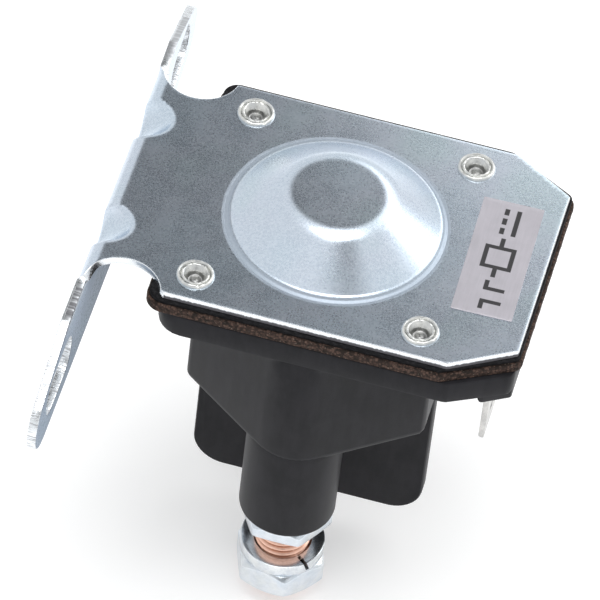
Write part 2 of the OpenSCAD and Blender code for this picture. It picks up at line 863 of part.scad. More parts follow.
// Lock washer cut through once, with its upper face at a height
module lock_washer(top, turn) {
    difference() {
        ring(washer_r, washer_hole_r, top, washer_t);
        rotate([0, 0, turn]) translate([washer_r, 0, top - washer_t / 2]) rotate([split_lean, 0, 0]) {
            cube([washer_r * 2, washer_cut, washer_t * 3], center = true);
        }
    }
}

// Nuts tightened against the two posts
module base_nuts() {
    color("#c6cdd2") on_coil() {
        translate([0, -post_pitch / 2, 0]) nut(z_post, base_nut_t, base_flats, front_base_turn);
        translate([0, post_pitch / 2, 0]) nut(z_post, base_nut_t, base_flats, rear_base_turn);
    }
}

// Lock washer on the front stud
module front_lock_washer() {
    color("#c6cdd2") on_coil() translate([0, -post_pitch / 2, 0]) lock_washer(z_washer, front_split_turn);
}

// Loosened nut on the front stud
module front_outer_nut() {
    color("#c6cdd2") on_coil() translate([0, -post_pitch / 2, 0]) {
        nut(z_outer_nut, outer_nut_t, outer_flats, front_outer_turn);
    }
}

// Lock washer on the rear stud
module rear_lock_washer() {
    color("#c6cdd2") on_coil() translate([0, post_pitch / 2, 0]) lock_washer(z_washer, rear_split_turn);
}

// Loosened nut on the rear stud
module rear_outer_nut() {
    color("#c6cdd2") on_coil() translate([0, post_pitch / 2, 0]) {
        nut(z_outer_nut, outer_nut_t, outer_flats, rear_outer_turn);
    }
}

// Blade terminal: tapered blade with a locking hole, and a foot bent over inside the flange
module blade() {
    half = blade_w / 2;
    hole_z = z_blade + blade_len / 2;
    translate([blade_x - blade_t / 2, 0, 0]) rotate([90, 0, 90]) linear_extrude(blade_t) difference() {
        polygon([
            [blade_taper - half, z_blade],
            [half - blade_taper, z_blade],
            [half, z_blade + blade_taper],
            [half, z_foot + blade_t],
            [-half, z_foot + blade_t],
            [-half, z_blade + blade_taper],
        ]);
        translate([0, hole_z]) circle(r = blade_hole_r);
    }
    translate([blade_x - blade_t / 2 - blade_foot, -half, z_foot]) cube([blade_foot, blade_w, blade_t]);
}

// Blade terminal nearest the viewer
module front_blade() {
    color("#cfd0cc") on_coil() translate([0, -blade_pitch / 2, 0]) blade();
}

// Blade terminal at the far side
module rear_blade() {
    color("#cfd0cc") on_coil() translate([0, blade_pitch / 2, 0]) blade();
}

// Lead from the winding to a blade's foot, in its channel
module coil_lead(side) {
    foot = blade_x - blade_t / 2 - blade_foot / 2;
    reach = foot / cos(blade_angle);
    rotate([0, 0, side * blade_angle]) translate([tape_r + seat_gap, 0, z_lead]) rotate([0, 90, 0]) {
        cylinder(r = lead_r, h = reach - tape_r - seat_gap);
    }
}

// Lead to the front blade
module front_coil_lead() {
    color("#8f2f24") on_coil() coil_lead(-1);
}

// Lead to the rear blade
module rear_coil_lead() {
    color("#8f2f24") on_coil() coil_lead(1);
}

mounting_bracket();
plate_rivets();
rating_label();
rubber_gasket();
cork_gasket();
housing();
coil_frame();
coil_bobbin();
coil_winding();
winding_tape();
cushion_washer();
pole_core();
plunger();
plunger_stem();
stem_clip();
contact_spring();
bar_bush();
bar_washer();
contact_bar();
return_spring();
front_stud();
rear_stud();
base_nuts();
front_lock_washer();
front_outer_nut();
rear_lock_washer();
rear_outer_nut();
front_blade();
rear_blade();
front_coil_lead();
rear_coil_lead();
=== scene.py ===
"""Looks of a starter solenoid relay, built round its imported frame.

Sizes are in millimetres in the classes below and become metres when a mesh is made. Plate heights are
measured from the top of the bracket's plate, which lies TOP above the part's own zero.
"""

import logging
import math
from dataclasses import dataclass
from enum import Enum
from typing import Callable, Sequence

import bmesh
import bpy
import numpy as np
from mathutils import Matrix
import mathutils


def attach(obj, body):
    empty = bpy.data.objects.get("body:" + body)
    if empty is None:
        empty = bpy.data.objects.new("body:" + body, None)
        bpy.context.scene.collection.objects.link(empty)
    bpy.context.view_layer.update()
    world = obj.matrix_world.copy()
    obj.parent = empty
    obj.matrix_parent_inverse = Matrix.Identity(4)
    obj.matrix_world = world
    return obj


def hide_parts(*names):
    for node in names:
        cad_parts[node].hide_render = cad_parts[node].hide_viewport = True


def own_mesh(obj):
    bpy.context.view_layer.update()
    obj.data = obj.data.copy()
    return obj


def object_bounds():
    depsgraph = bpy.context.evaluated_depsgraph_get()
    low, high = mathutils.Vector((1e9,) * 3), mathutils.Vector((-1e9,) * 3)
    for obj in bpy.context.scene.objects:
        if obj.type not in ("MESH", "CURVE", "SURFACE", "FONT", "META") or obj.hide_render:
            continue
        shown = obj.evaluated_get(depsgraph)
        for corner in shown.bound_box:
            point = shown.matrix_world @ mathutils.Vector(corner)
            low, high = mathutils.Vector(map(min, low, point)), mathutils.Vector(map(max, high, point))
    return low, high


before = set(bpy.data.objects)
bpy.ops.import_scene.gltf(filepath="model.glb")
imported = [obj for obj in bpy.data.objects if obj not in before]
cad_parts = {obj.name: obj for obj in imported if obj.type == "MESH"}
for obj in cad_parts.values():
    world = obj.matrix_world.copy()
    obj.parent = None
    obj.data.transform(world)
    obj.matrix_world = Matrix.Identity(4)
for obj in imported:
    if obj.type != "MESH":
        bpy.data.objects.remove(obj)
CAD_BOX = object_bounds()

Array = np.ndarray
Spot = tuple[float, float]
Vector = tuple[float, float, float]
Colour = Circle = Vector
Material = bpy.types.Material
Socket = bpy.types.NodeSocket
log = logging.getLogger("relay")

MM = 0.001
TAU = 2 * math.pi
TOP = 7.8
SHEET_T = 1.3

# Upright axes
DOME_X = 31.4
DOME_Y = 1.2
COIL_X = DOME_X + 0.55
COIL_AXIS = (COIL_X, DOME_Y)
BASE_Y = DOME_Y + 0.7
POST_HALF = 15
STUD_Y = (DOME_Y - POST_HALF, DOME_Y + POST_HALF)
RIVETS = [(DOME_X + 0.15 + a * 16.05, DOME_Y + b * 16.3) for a in (-1, 1) for b in (-1, 1)]

# Plate heights
Z_RUBBER = -1.3
Z_CORK = -2.3
Z_CASE = -3.8
Z_FLANGE = -7.7
Z_BOSS = -9.1
Z_LEDGE = -15.6
Z_HEAD = -22.75
Z_FLOOR = -24.95
Z_SKIRT = -27.2
Z_THREAD = -40.5
Z_POST = -43.1
Z_WASHER = -50.6
Z_OUTER_NUT = -52.6
Z_STUD = -59.5


class Side(Enum):
    """The two terminals, by their place along Y."""

    FRONT = 0
    REAR = 1

    @property
    def word(self) -> str:
        """Name of the side, as the bodies and nodes spell it."""
        return self.name.lower()


# Shapes


def arc(x: float, y: float, r: float, start: float, end: float, count: int) -> Array:
    """Points on an arc between two angles in degrees, ends included: centre plus radius times (cos, sin)."""
    a = np.radians(np.linspace(start, end, count))
    return np.stack([x + r * np.cos(a), y + r * np.sin(a)], 1)


def circle(x: float, y: float, r: float, count: int) -> Array:
    """Points on a circle: an arc of a full turn without its last point."""
    return arc(x, y, r, 0, 360, count + 1)[:-1]


def stadium(x: float, y: float, length: float, width: float) -> Array:
    """Outline of a slot that runs along the second coordinate: two half circles, half the straight away."""
    r, half = width / 2, (length - width) / 2
    return np.concatenate([arc(x, y + half, r, 0, 180, 25), arc(x, y - half, r, 180, 360, 25)])


def smoothstep(t: Array) -> Array:
    """Eased step 3t^2 - 2t^3 of a value clipped to 0..1."""
    t = np.clip(t, 0, 1)
    return t * t * (3 - 2 * t)


def steps(count: int) -> Array:
    """Angles of equal steps round a full turn."""
    return np.linspace(0, TAU, count, endpoint=False)


def around(centre: Spot, r: float | Array, angle: Array, z: float | Array) -> Array:
    """Points about an upright axis: centre plus radius times (cos, sin), at a height."""
    place = np.broadcast_arrays(centre[0] + r * np.cos(angle), centre[1] + r * np.sin(angle), z)
    return np.stack(place, -1)


def revolve(profile: Sequence[Spot], centre: Spot, columns: int) -> Array:
    """Surface of (radius, height) pairs turned about an upright axis, a row for each pair."""
    table = np.array(profile, float)
    return around(centre, table[:, :1], steps(columns), table[:, 1:])


def mirrored(x: float, y: float, *spots: Circle) -> list[Circle]:
    """Circles on both sides of the line at y, from each one's (offset in x, offset in y, radius)."""
    return [(x + dx, y + sign * dy, r) for dx, dy, r in spots for sign in (-1, 1)]


@dataclass(frozen=True)
class Trace:
    """Closed outline with its outward directions.

    Attributes:
        points: points on the outline, n by 2.
        out: outward unit directions there, n by 2.
    """

    points: Array
    out: Array

    @staticmethod
    def hull(circles: Sequence[Circle], step: float) -> "Trace":
        """Outline drawn tight round circles: in each direction the furthest point of any circle.

        Args:
            circles: (x, y, radius) of each circle.
            step: distance between points along the outline.
        Returns:
            The outline, anticlockwise.
        """
        a = steps(720)
        way = np.stack([np.cos(a), np.sin(a)], 1)
        table = np.array(circles, float)
        best = np.argmax(way @ table[:, :2].T + table[:, 2], axis=1)
        points = table[best, :2] + table[best, 2:] * way
        loop = np.concatenate([points, points[:1]])
        turn = np.concatenate([a, [TAU]])
        run = np.concatenate([[0], np.cumsum(np.linalg.norm(np.diff(loop, axis=0), axis=1))])
        where = np.linspace(0, run[-1], max(24, int(run[-1] / step)) + 1)[:-1]
        change = np.diff(best) != 0
        where = np.union1d(where, run[:-1][np.r_[True, change] | np.r_[change, True]])
        angle = np.interp(where, run, turn)
        spot = np.stack([np.interp(where, run, loop[:, k]) for k in (0, 1)], 1)
        return Trace(spot, np.stack([np.cos(angle), np.sin(angle)], 1))

    def ring(self, offset: float | Array, level: float) -> Array:
        """Outline moved outwards by an offset, at a height."""
        flat = self.points + self.out * np.reshape(offset, (-1, 1))
        return np.c_[flat, np.full(len(flat), level)]

    def opening(self, centre: Spot, r: float, level: float, half: float = 0.0) -> Array:
        """Edge of a round-ended slot along Y, seen from its middle in the direction of each outline point.

        A ray at angle a leaves by a straight side at r / |cos a| as long as that point lies between the end
        centres, which are half away, and else by an end at half |sin a| + sqrt(r^2 - half^2 cos^2 a).

        Args:
            centre: middle of the slot.
            r: radius of its ends.
            level: height.
            half: distance of the end centres from the middle, 0 for a round hole.
        Returns:
            Points, one for each point of the outline.
        """
        away = self.points - np.array(centre)
        way = away / np.linalg.norm(away, axis=1)[:, None]
        cos, sin = np.abs(way).T
        side = r / np.maximum(cos, 1e-6)
        end = half * sin + np.sqrt(np.maximum(r**2 - (half * cos) ** 2, 0))
        reach = np.where(side * sin <= half, side, end)
        return np.c_[np.array(centre) + way * reach[:, None], np.full(len(way), level)]

    def loft(self, profile: Sequence[Spot]) -> Array:
        """Surface whose rows are the outline at each (offset, height) of a profile."""
        return np.stack([self.ring(offset, level) for offset, level in profile])


class Shell:
    """Gathers surfaces into one mesh."""

    def __init__(self) -> None:
        """Starts empty."""
        self.points: list[Array] = []
        self.faces: list[list[int]] = []
        self.tags: list[Array] = []
        self.count = 0

    def add(self, points: Array, faces: list[list[int]], tag: Array) -> None:
        """Adds points and faces.

        Args:
            points: n by 3.
            faces: each face's places in points.
            tag: value of each point that materials read as wall.
        """
        self.faces += [[self.count + i for i in face] for face in faces]
        self.points.append(points)
        self.tags.append(tag)
        self.count += len(points)

    def surface(self, grid: Array, caps: bool = False) -> "Shell":
        """Adds a grid of points as quads, row by row, its last column joined to the first.

        Args:
            grid: points, rows by columns by 3.
            caps: whether the first and last rows are filled with one face each.
        Returns:
            This shell.
        """
        index = np.arange(grid.shape[0] * grid.shape[1]).reshape(grid.shape[:2])
        right = np.roll(index, -1, axis=1)
        faces = np.stack([index[:-1], right[:-1], right[1:], index[1:]], -1).reshape(-1, 4).tolist()
        if caps:
            faces += [index[0, ::-1].tolist(), index[-1].tolist()]
        self.add(grid.reshape(-1, 3), faces, np.zeros(index.size))
        return self

    def piece(self, name: str, node: str, finish: Material, slot: str, crease: float = 32.0,
              body: str = "case") -> bpy.types.Object:
        """Args:
            name: name of the piece.
            node: the CAD node it stands for.
            finish: its material.
            slot: the record's material slot; not used.
            crease: least angle of an edge that stays sharp, in degrees.
            body: the CAD body it rides on.
        Returns:
            The object, at the origin.
        """
        points = np.concatenate(self.points) + [0, 0, TOP]
        mesh = bpy.data.meshes.new(name)
        mesh.from_pydata((points * MM).tolist(), [], self.faces)
        wall = mesh.attributes.new("wall", "FLOAT", "POINT")
        wall.data.foreach_set("value", np.concatenate(self.tags).astype(np.float32))
        work = bmesh.new()
        work.from_mesh(mesh)
        bmesh.ops.remove_doubles(work, verts=work.verts, dist=0.002 * MM)
        bmesh.ops.dissolve_degenerate(work, edges=work.edges, dist=0.001 * MM)
        bmesh.ops.recalc_face_normals(work, faces=work.faces)
        work.to_mesh(mesh)
        work.free()
        mesh.polygons.foreach_set("use_smooth", np.ones(len(mesh.polygons), bool))
        mesh.set_sharp_from_angle(angle=math.radians(crease))
        mesh.materials.append(finish)
        obj = bpy.data.objects.new(name, mesh)
        bpy.context.scene.collection.objects.link(obj)
        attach(obj, body)
        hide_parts(node)
        log.info("%s: %d faces, rides on %s", name, len(mesh.polygons), body)
        return obj


@dataclass(frozen=True)
class Stamping:
    """Sheet cut to an outline on a fine grid whose border points are pulled onto the outline.

    Attributes:
        outline: closed outline in the flat pattern, n by 2.
        holes: closed outlines of the holes.
        thickness: sheet thickness.
        step: spacing of the grid.
        edge: radius that rounds the cut edges.
        batch: how many points are measured at a time.
        snap: share of a step within which a point is pulled onto the border.
    """

    outline: Array
    holes: tuple[Array, ...]
    thickness: float
    step: float
    edge: float
    batch: int = 4000
    snap: float = 0.52

    def nearest(self, p: Array) -> tuple[Array, Array, Array]:
        """Measures points against the border.

        The distance to each straight run is the length from the point to its foot on the run, and
        the sign comes from how often a line to the right crosses the runs.

        Args:
            p: points, n by 2.
        Returns:
            Signed distance, nearest border point and outward direction of each.
        """
        starts = np.concatenate([self.outline, *self.holes])
        ends = np.concatenate([np.roll(c, -1, axis=0) for c in (self.outline, *self.holes)])
        run = ends - starts
        size = np.maximum((run**2).sum(1), 1e-12)
        dist, foot, inside = np.empty(len(p)), np.empty_like(p), np.empty(len(p), bool)
        for k in range(0, len(p), self.batch):
            part = slice(k, k + self.batch)
            q = p[part, None, :]
            t = np.clip(((q - starts) * run).sum(2) / size, 0, 1)
            near = starts + t[..., None] * run
            far = ((q - near) ** 2).sum(2)
            best = far.argmin(1)
            each = np.arange(len(best))
            dist[part] = np.sqrt(far[each, best])
            foot[part] = near[each, best]
            above = (starts[:, 1] > q[..., 1]) != (ends[:, 1] > q[..., 1])
            rise = np.where(above, run[:, 1], 1.0)
            cross = starts[:, 0] + (q[..., 1] - starts[:, 1]) * run[:, 0] / rise
            inside[part] = (above & (q[..., 0] < cross)).sum(1) % 2 == 1
        sign = np.where(inside, -1.0, 1.0)
        out = (p - foot) * sign[:, None]
        out /= np.maximum(np.linalg.norm(out, axis=1), 1e-9)[:, None]
        return dist * sign, foot, out

    def flat(self) -> tuple[Array, list[list[int]], Array, Array]:
        """Grid cells inside the outline, a triangle where one corner of a cell lies outside.

        Returns:
            Points, faces, directed border edges, and outward directions of all points.
        """
        lo, hi = self.outline.min(0) - self.step, self.outline.max(0) + self.step
        a, b = (np.arange(lo[k], hi[k] + self.step, self.step) for k in (0, 1))
        grid = np.stack(np.meshgrid(a, b, indexing="ij"), -1)
        p = grid.reshape(-1, 2)
        dist, foot, out = self.nearest(p)
        pulled = np.abs(dist + self.edge) < self.step * self.snap
        p = np.where(pulled[:, None], foot - out * self.edge, p)
        keep = (pulled | (dist + self.edge < 0)).reshape(grid.shape[:2])
        index = np.arange(len(p)).reshape(grid.shape[:2])
        corner, held = ([k[:-1, :-1], k[1:, :-1], k[1:, 1:], k[:-1, 1:]] for k in (index, keep))
        total = sum(h.astype(int) for h in held)
        faces = np.stack([c[total == 4] for c in corner], 1).tolist()
        for missing in range(4):
            pick = (total == 3) & ~held[missing]
            tri = np.stack([corner[k][pick] for k in range(4) if k != missing], 1)
            u, v = p[tri[:, 1]] - p[tri[:, 0]], p[tri[:, 2]] - p[tri[:, 0]]
            faces += tri[u[:, 0] * v[:, 1] - u[:, 1] * v[:, 0] > 1e-4].tolist()
        edges = np.array([(f[k], f[(k + 1) % len(f)]) for f in faces for k in range(len(f))])
        key = edges[:, 0] * len(p) + edges[:, 1]
        back = edges[:, 1] * len(p) + edges[:, 0]
        border = edges[~np.isin(key, back)]
        used = np.unique(edges)
        remap = np.full(len(p), -1)
        remap[used] = np.arange(len(used))
        p = p[used]
        return p, [[int(remap[i]) for i in f] for f in faces], remap[border], self.nearest(p)[2]

    def into(self, shell: Shell, place: Callable[[Array, Array], Array]) -> None:
        """Adds the closed sheet to a shell: upper face, rings down the rounded cut edge, under face.

        Args:
            shell: where it goes.
            place: turns flat points and their depths into points in space.
        """
        p, faces, border, out = self.flat()
        t, e = self.thickness, self.edge
        count = len(p)
        rings = [(0.62 * e, 0.12 * e), (0.9 * e, 0.42 * e), (e, e), (e, t - e), (0.7 * e, t - 0.3 * e)]
        rim = np.unique(border)
        spot = np.full(count, -1)
        spot[rim] = np.arange(len(rim))
        points = [place(p, np.zeros(count))]
        tags = [np.zeros(count)]
        for offset, depth in rings:
            points.append(place(p[rim] + out[rim] * offset, np.full(len(rim), depth)))
            tags.append(np.full(len(rim), 0.15 + 0.85 * depth / t))
        points.append(place(p, np.full(count, t)))
        tags.append(np.full(count, -1.0))
        under = count + len(rings) * len(rim)
        rows = [border, *(spot[border] + count + k * len(rim) for k in range(len(rings))), border + under]
        walls = [np.stack([u[:, 1], u[:, 0], v[:, 0], v[:, 1]], 1) for u, v in zip(rows, rows[1:])]
        flipped = [[under + i for i in f[::-1]] for f in faces]
        shell.add(np.concatenate(points), faces + np.concatenate(walls).tolist() + flipped,
                  np.concatenate(tags))


# Finishes


class Tone:
    """A socket of a node tree, on which Python's operators add Math nodes."""

    def __init__(self, graph: "Graph", socket: Socket) -> None:
        """Wraps a socket."""
        self.graph = graph
        self.socket = socket

    def math(self, operation: str, *others: "Tone | float", front: bool = False) -> "Tone":
        """Joins this value and others in one Math node.

        Args:
            operation: the Math node's operation.
            others: the other values.
            front: whether the others come before this value.
        Returns:
            The node's result.
        """
        order = [*others, self] if front else [self, *others]
        node = self.graph.node("ShaderNodeMath", {"operation": operation}, dict(enumerate(order)))
        return Tone(self.graph, node.outputs[0])

    def __add__(self, other: "Tone | float") -> "Tone":
        """Sum."""
        return self.math("ADD", other)

    def __sub__(self, other: "Tone | float") -> "Tone":
        """Difference."""
        return self.math("SUBTRACT", other)

    def __rsub__(self, other: float) -> "Tone":
        """Difference, reflected."""
        return self.math("SUBTRACT", other, front=True)

    def __mul__(self, other: "Tone | float") -> "Tone":
        """Product."""
        return self.math("MULTIPLY", other)

    __radd__ = __add__
    __rmul__ = __mul__

    def __lt__(self, other: "Tone | float") -> "Tone":
        """1 where this is less."""
        return self.math("LESS_THAN", other)

    def __gt__(self, other: "Tone | float") -> "Tone":
        """1 where this is greater."""
        return self.math("GREATER_THAN", other)

    def band(self, low: float, high: float) -> "Tone":
        """Eased rise between two values.

        Args:
            low: value at which the result is 0.
            high: value at which it is 1, which may be less than low.
        Returns:
            The result, from 0 to 1.
        """
        node = self.graph.node("ShaderNodeMapRange", {"interpolation_type": "SMOOTHSTEP"},
                               {0: self, 1: min(low, high), 2: max(low, high)})
        step = Tone(self.graph, node.outputs[0])
        return step if low < high else 1 - step

    def both(self, other: "Tone") -> "Tone":
        """Lesser of two masks."""
        return self.math("MINIMUM", other)

    def either(self, other: "Tone") -> "Tone":
        """Greater of two masks."""
        return self.math("MAXIMUM", other)


class Graph:
    """Node tree of a material or of the world."""

    def __init__(self, tree: bpy.types.NodeTree) -> None:
        """Empties the tree."""
        self.tree = tree
        self.tree.nodes.clear()

    def feed(self, target: Socket, value: object) -> None:
        """Links a socket or Tone to an input, or sets the input's own value.

        Args:
            target: the input.
            value: what it gets.
        """
        source = value.socket if isinstance(value, Tone) else value
        if isinstance(source, Socket):
            self.tree.links.new(source, target)
        else:
            target.default_value = source

    def node(self, kind: str, settings: dict | None = None, sockets: dict | None = None) -> bpy.types.Node:
        """Adds a node, sets its settings first, then the values or links of its sockets.

        Args:
            kind: the node's type.
            settings: properties such as a Math node's operation, or the stops of a ramp.
            sockets: input names or numbers with a value, a socket or a Tone.
        Returns:
            The node.
        """
        node = self.tree.nodes.new(kind)
        for key, value in (settings or {}).items():
            if key != "stops":
                setattr(node, key, value)
                continue
            ramp = node.color_ramp
            while len(ramp.elements) < len(value):
                ramp.elements.new(0.5)
            for element, (at, colour) in zip(ramp.elements, value):
                element.position = at
                element.color = (*colour, 1)
        for key, value in (sockets or {}).items():
            self.feed(node.inputs[key], value)
        return node

    def blend(self, factor: Tone | float, first: Tone | float, second: Tone | float) -> Tone:
        """Value between two, by a factor."""
        node = self.node("ShaderNodeMix", {"data_type": "FLOAT"}, {0: factor, 2: first, 3: second})
        return Tone(self, node.outputs[0])


class Brush(Graph):
    """Builds one node material."""

    def __init__(self, name: str) -> None:
        """Starts a material with its shader joined to the output.

        Args:
            name: the material's name.
        """
        self.material = bpy.data.materials.new(name)
        self.material.use_nodes = True
        super().__init__(self.material.node_tree)
        self.shader = self.node("ShaderNodeBsdfPrincipled")
        self.out = self.node("ShaderNodeOutputMaterial", {}, {0: self.shader.outputs[0]})

    def finish(self, **values: object) -> Material:
        """Sets sockets of the shader.

        Args:
            values: what each gets, by name with underscores for spaces.
        Returns:
            The material.
        """
        for key, value in values.items():
            source = (*value, 1) if isinstance(value, tuple) else value
            self.feed(self.shader.inputs[key.replace("_", " ")], source)
        return self.material

    def place(self, stretch: Vector = (1, 1, 1)) -> Socket:
        """Object coordinates in millimetres, times a stretch."""
        sockets = {0: self.node("ShaderNodeTexCoord").outputs["Object"], 1: tuple(s / MM for s in stretch)}
        return self.node("ShaderNodeVectorMath", {"operation": "MULTIPLY"}, sockets).outputs[0]

    def axes(self) -> tuple[Tone, Tone, Tone]:
        """X, Y and Z of the point, in millimetres."""
        node = self.node("ShaderNodeSeparateXYZ", {}, {0: self.place()})
        return tuple(Tone(self, socket) for socket in node.outputs)

    def radius(self, x: float, y: float) -> Tone:
        """Distance of the point from an upright axis, in millimetres."""
        dx, dy = (tone - middle for tone, middle in zip(self.axes(), (x, y)))
        return (dx * dx + dy * dy).math("SQRT")

    def wall(self) -> Tone:
        """Tag of cut edges, from 0 on the upper face to 1 at an edge's foot, and -1 on the under face."""
        return Tone(self, self.node("ShaderNodeAttribute", {"attribute_name": "wall"}).outputs["Fac"])

    def noise(self, size: float, detail: float, rough: float, stretch: Vector = (1, 1, 1)) -> Tone:
        """Noise about 0.5 whose blotches are size millimetres across."""
        values = {"Vector": self.place(stretch), "Scale": 1 / size, "Detail": detail, "Roughness": rough}
        return Tone(self, self.node("ShaderNodeTexNoise", {}, values).outputs[0])

    def cells(self, size: float) -> tuple[Tone, Socket]:
        """Distance and random colour of cells that are size millimetres across."""
        node = self.node("ShaderNodeTexVoronoi", {}, {"Vector": self.place(), "Scale": 1 / size})
        return Tone(self, node.outputs["Distance"]), node.outputs["Color"]

    def mix(self, factor: Tone | float, first: Colour | Socket, second: Colour | Socket) -> Socket:
        """Mixes two colours.

        Args:
            factor: 0 for the first, 1 for the second.
            first, second: the colours.
        Returns:
            The colour between them.
        """
        pair = [(*c, 1) if isinstance(c, tuple) else c for c in (first, second)]
        sockets = {0: factor, 6: pair[0], 7: pair[1]}
        return self.node("ShaderNodeMix", {"data_type": "RGBA"}, sockets).outputs[2]

    def ramp(self, factor: Tone, *stops: tuple[float, Colour]) -> Socket:
        """Colour along a ramp."""
        return self.node("ShaderNodeValToRGB", {"stops": stops}, {0: factor}).outputs[0]

    def relief(self, height: Tone, depth: float, base: Socket | None = None) -> Socket:
        """Bump on top of another bump.

        Args:
            height: the bump's height.
            depth: millimetres that a height of 1 stands for.
            base: the other bump, if there is one.
        Returns:
            The normal.
        """
        sockets = {"Height": height, "Distance": depth * MM, "Strength": 1.0}
        if base is not None:
            sockets["Normal"] = base
        return self.node("ShaderNodeBump", {}, sockets).outputs[0]


@dataclass(frozen=True)
class ZincSheet:
    """Satin zinc plating on rolled sheet, with burnished and torn cut edges.

    Attributes:
        dull: colour of the painted dark reflection on the flange's inner side.
        groove: colour of the painted shade round the dome's foot.
        film: colours of the passivation film, by its noise.
    """

    tint: Colour = (0.655, 0.73, 0.815)
    deep: Colour = (0.51, 0.59, 0.68)
    # Painted dark reflection on the flange's inner side.
    dull: Colour = (0.3, 0.37, 0.47)
    edge: Colour = (0.86, 0.89, 0.92)
    # Colour of torn metal, also used for the painted shade on the near ear's top edge.
    torn: Colour = (0.055, 0.05, 0.06)
    # Painted shade round the dome's foot.
    groove: Colour = (0.27, 0.31, 0.36)
    film: tuple[tuple[float, Colour], ...] = (
        (0.32, (0.62, 0.8, 0.78)), (0.5, (0.74, 0.76, 0.86)), (0.66, (0.66, 0.78, 0.88)))

    def torn_and_painted_shade(self, b: Brush, x: Tone, y: Tone, z: Tone, wall: Tone) -> Tone:
        """Mask of torn metal and painted shade on the cut edge: torn on its lower half on the plate, painted
        shade in blocks on the near ear's top edge from root to shoulder, torn blocks on the far ear's root,
        streaks in slots.

        Args:
            b: the material's brush.
            x, y, z: the point, in millimetres.
            wall: tag of cut edges.
        Returns:
            Mask, 1 where it is torn and where painted shade lies on the near ear's top edge.
        """
        out = (y - DOME_Y).math("ABSOLUTE")
        across = b.noise(0.2, 2, 0.6, (0.1, 1, 1))
        along = b.noise(0.5, 2, 0.6, (1, 1, 0.15))
        plate = (x > 12.2) * (wall + along * 0.3 - 0.15).band(0.5, 0.64) * 0.92
        blocks = b.noise(0.5, 3, 0.6, (0.05, 1, 1)).band(0.36, 0.54)
        # Painted shade: the near ear's top cut edge from root to shoulder is darkened, broken into blocks.
        near = ((y < 0) * (z > TOP - 1.6) * out.band(22.4, 23.4) * out.band(29.6, 28.4) * wall.band(0.3, 0.4)
                * (blocks * 0.55 + 0.25))
        far = (y > 0) * (z > TOP - 4) * out.band(22.4, 24.0) * wall.band(0.2, 0.5) * (blocks * 0.2 + 0.28)
        slot = (z < TOP - 2.5) * across.band(0.5, 0.6) * 0.5
        rest = across.band(0.52, 0.66) * 0.16
        return plate.either((x < 1.6) * near.either(far).either(slot).either(rest))

    def make(self) -> Material:
        """Cloudy tint with a faint film of colour, crystal grain, the two sorts of cut edge, and painted
        shade and a painted dark reflection.

        Returns:
            The material.
        """
        b = Brush("zinc_sheet")
        x, y, z = b.axes()
        wall = b.wall()
        cloud = b.noise(5, 4, 0.6)
        grain = b.noise(0.28, 1.5, 0.6)
        rolled = b.noise(0.6, 3, 0.6, (0.1, 1, 0.1))
        speck = b.noise(0.36, 1, 0.6, (1, 1.4, 1))
        face = b.mix((cloud * 0.15 + grain * 0.4 + speck * 0.45).band(0.37, 0.63), self.deep, self.tint)
        face = b.mix(0.22, face, b.ramp(b.noise(14, 2, 0.5), *self.film))
        radius = b.radius(DOME_X, DOME_Y)
        # Painted shade: the groove round the dome's foot is darkened and made rougher.
        foot = radius.band(14.75, 15.0) * radius.band(16.1, 15.92) * z.band(TOP - 0.5, TOP - 0.3)
        face = b.mix(foot * 0.55, face, self.groove)
        # Painted dark reflection: the flange's inner side is darkened and made less metallic, standing in for
        # the dark housing and shadowed floor it mirrors.
        inner = (wall < -0.5) * (x < 1.7) * (y < 15) * z.band(TOP - 1.0, TOP - 2.2)
        face = b.mix(inner * (0.55 + cloud * 0.5), face, self.dull)
        cut = wall > 0.1
        # torn holds torn metal and the painted shade on the near ear's top edge.
        torn = self.torn_and_painted_shade(b, x, y, z, wall)
        lines = b.noise(0.16, 2, 0.6, (0.12, 1, 1))
        skin = b.relief(grain * 0.3 + speck * 0.5 + rolled * 0.2, 0.006)
        smooth = (0.21 + cloud * 0.06 + grain * 0.08 + foot * 0.2) * (1 - cut)
        # Metallic drops on the flange's inner side for the painted dark reflection.
        return b.finish(
            Base_Color=b.mix(cut, face, b.mix(torn, self.edge, self.torn)), Metallic=1 - inner * 0.72,
            Specular_IOR_Level=0.0, Roughness=smooth + cut * (0.26 + torn * 0.3),
            Normal=b.relief((lines * 0.3 + torn * -0.7) * cut, 0.04, skin))


@dataclass(frozen=True)
class Plated:
    """Bright plating on turned and pressed hardware.

    Attributes:
        name: name of the finish.
        tint, shade: bright and dull colour.
        rough: roughness of the clean surface.
        stain: strength of the coloured passivation tint.
        hollow: how much painted shade darkens it below the plate's face.
        hues: colours of the stain, by its noise.
        hollow_painted_shade: colour of that painted shade.
    """

    name: str
    tint: Colour
    shade: Colour
    rough: float
    stain: float = 0.0
    hollow: float = 0.0
    hues: tuple[tuple[float, Colour], ...] = (
        (0.3, (0.62, 0.75, 0.95)), (0.5, (0.85, 0.85, 0.9)), (0.68, (0.95, 0.86, 0.66)))
    # Painted shade colour below the plate's face.
    hollow_painted_shade: Colour = (0.2, 0.2, 0.2)

    def make(self) -> Material:
        """Faint turning lines, cloudy dulling, a thin coloured stain, and painted shade below the plate's
        face.

        Returns:
            The material.
        """
        b = Brush(self.name)
        cloud = b.noise(1.4, 4, 0.65)
        fine = b.noise(0.12, 2, 0.6)
        lines = b.noise(0.3, 2, 0.5, (0.3, 0.3, 1))
        colour = b.mix((cloud * 0.7 + fine * 0.3).band(0.35, 0.65), self.shade, self.tint)
        if self.stain:
            colour = b.mix(self.stain, colour, b.ramp(b.noise(2.6, 2, 0.5), *self.hues))
        # Painted shade: below the plate's face, as in a rivet's hollow, the colour goes darker.
        if self.hollow:
            colour = b.mix(b.axes()[2].band(TOP + 0.1, TOP - 0.6) * self.hollow, colour, self.hollow_painted_shade)
        return b.finish(Base_Color=colour, Metallic=1.0, Roughness=self.rough + cloud * 0.12 + fine * 0.04,
                        Normal=b.relief(lines * 0.5 + fine * 0.5, 0.008))


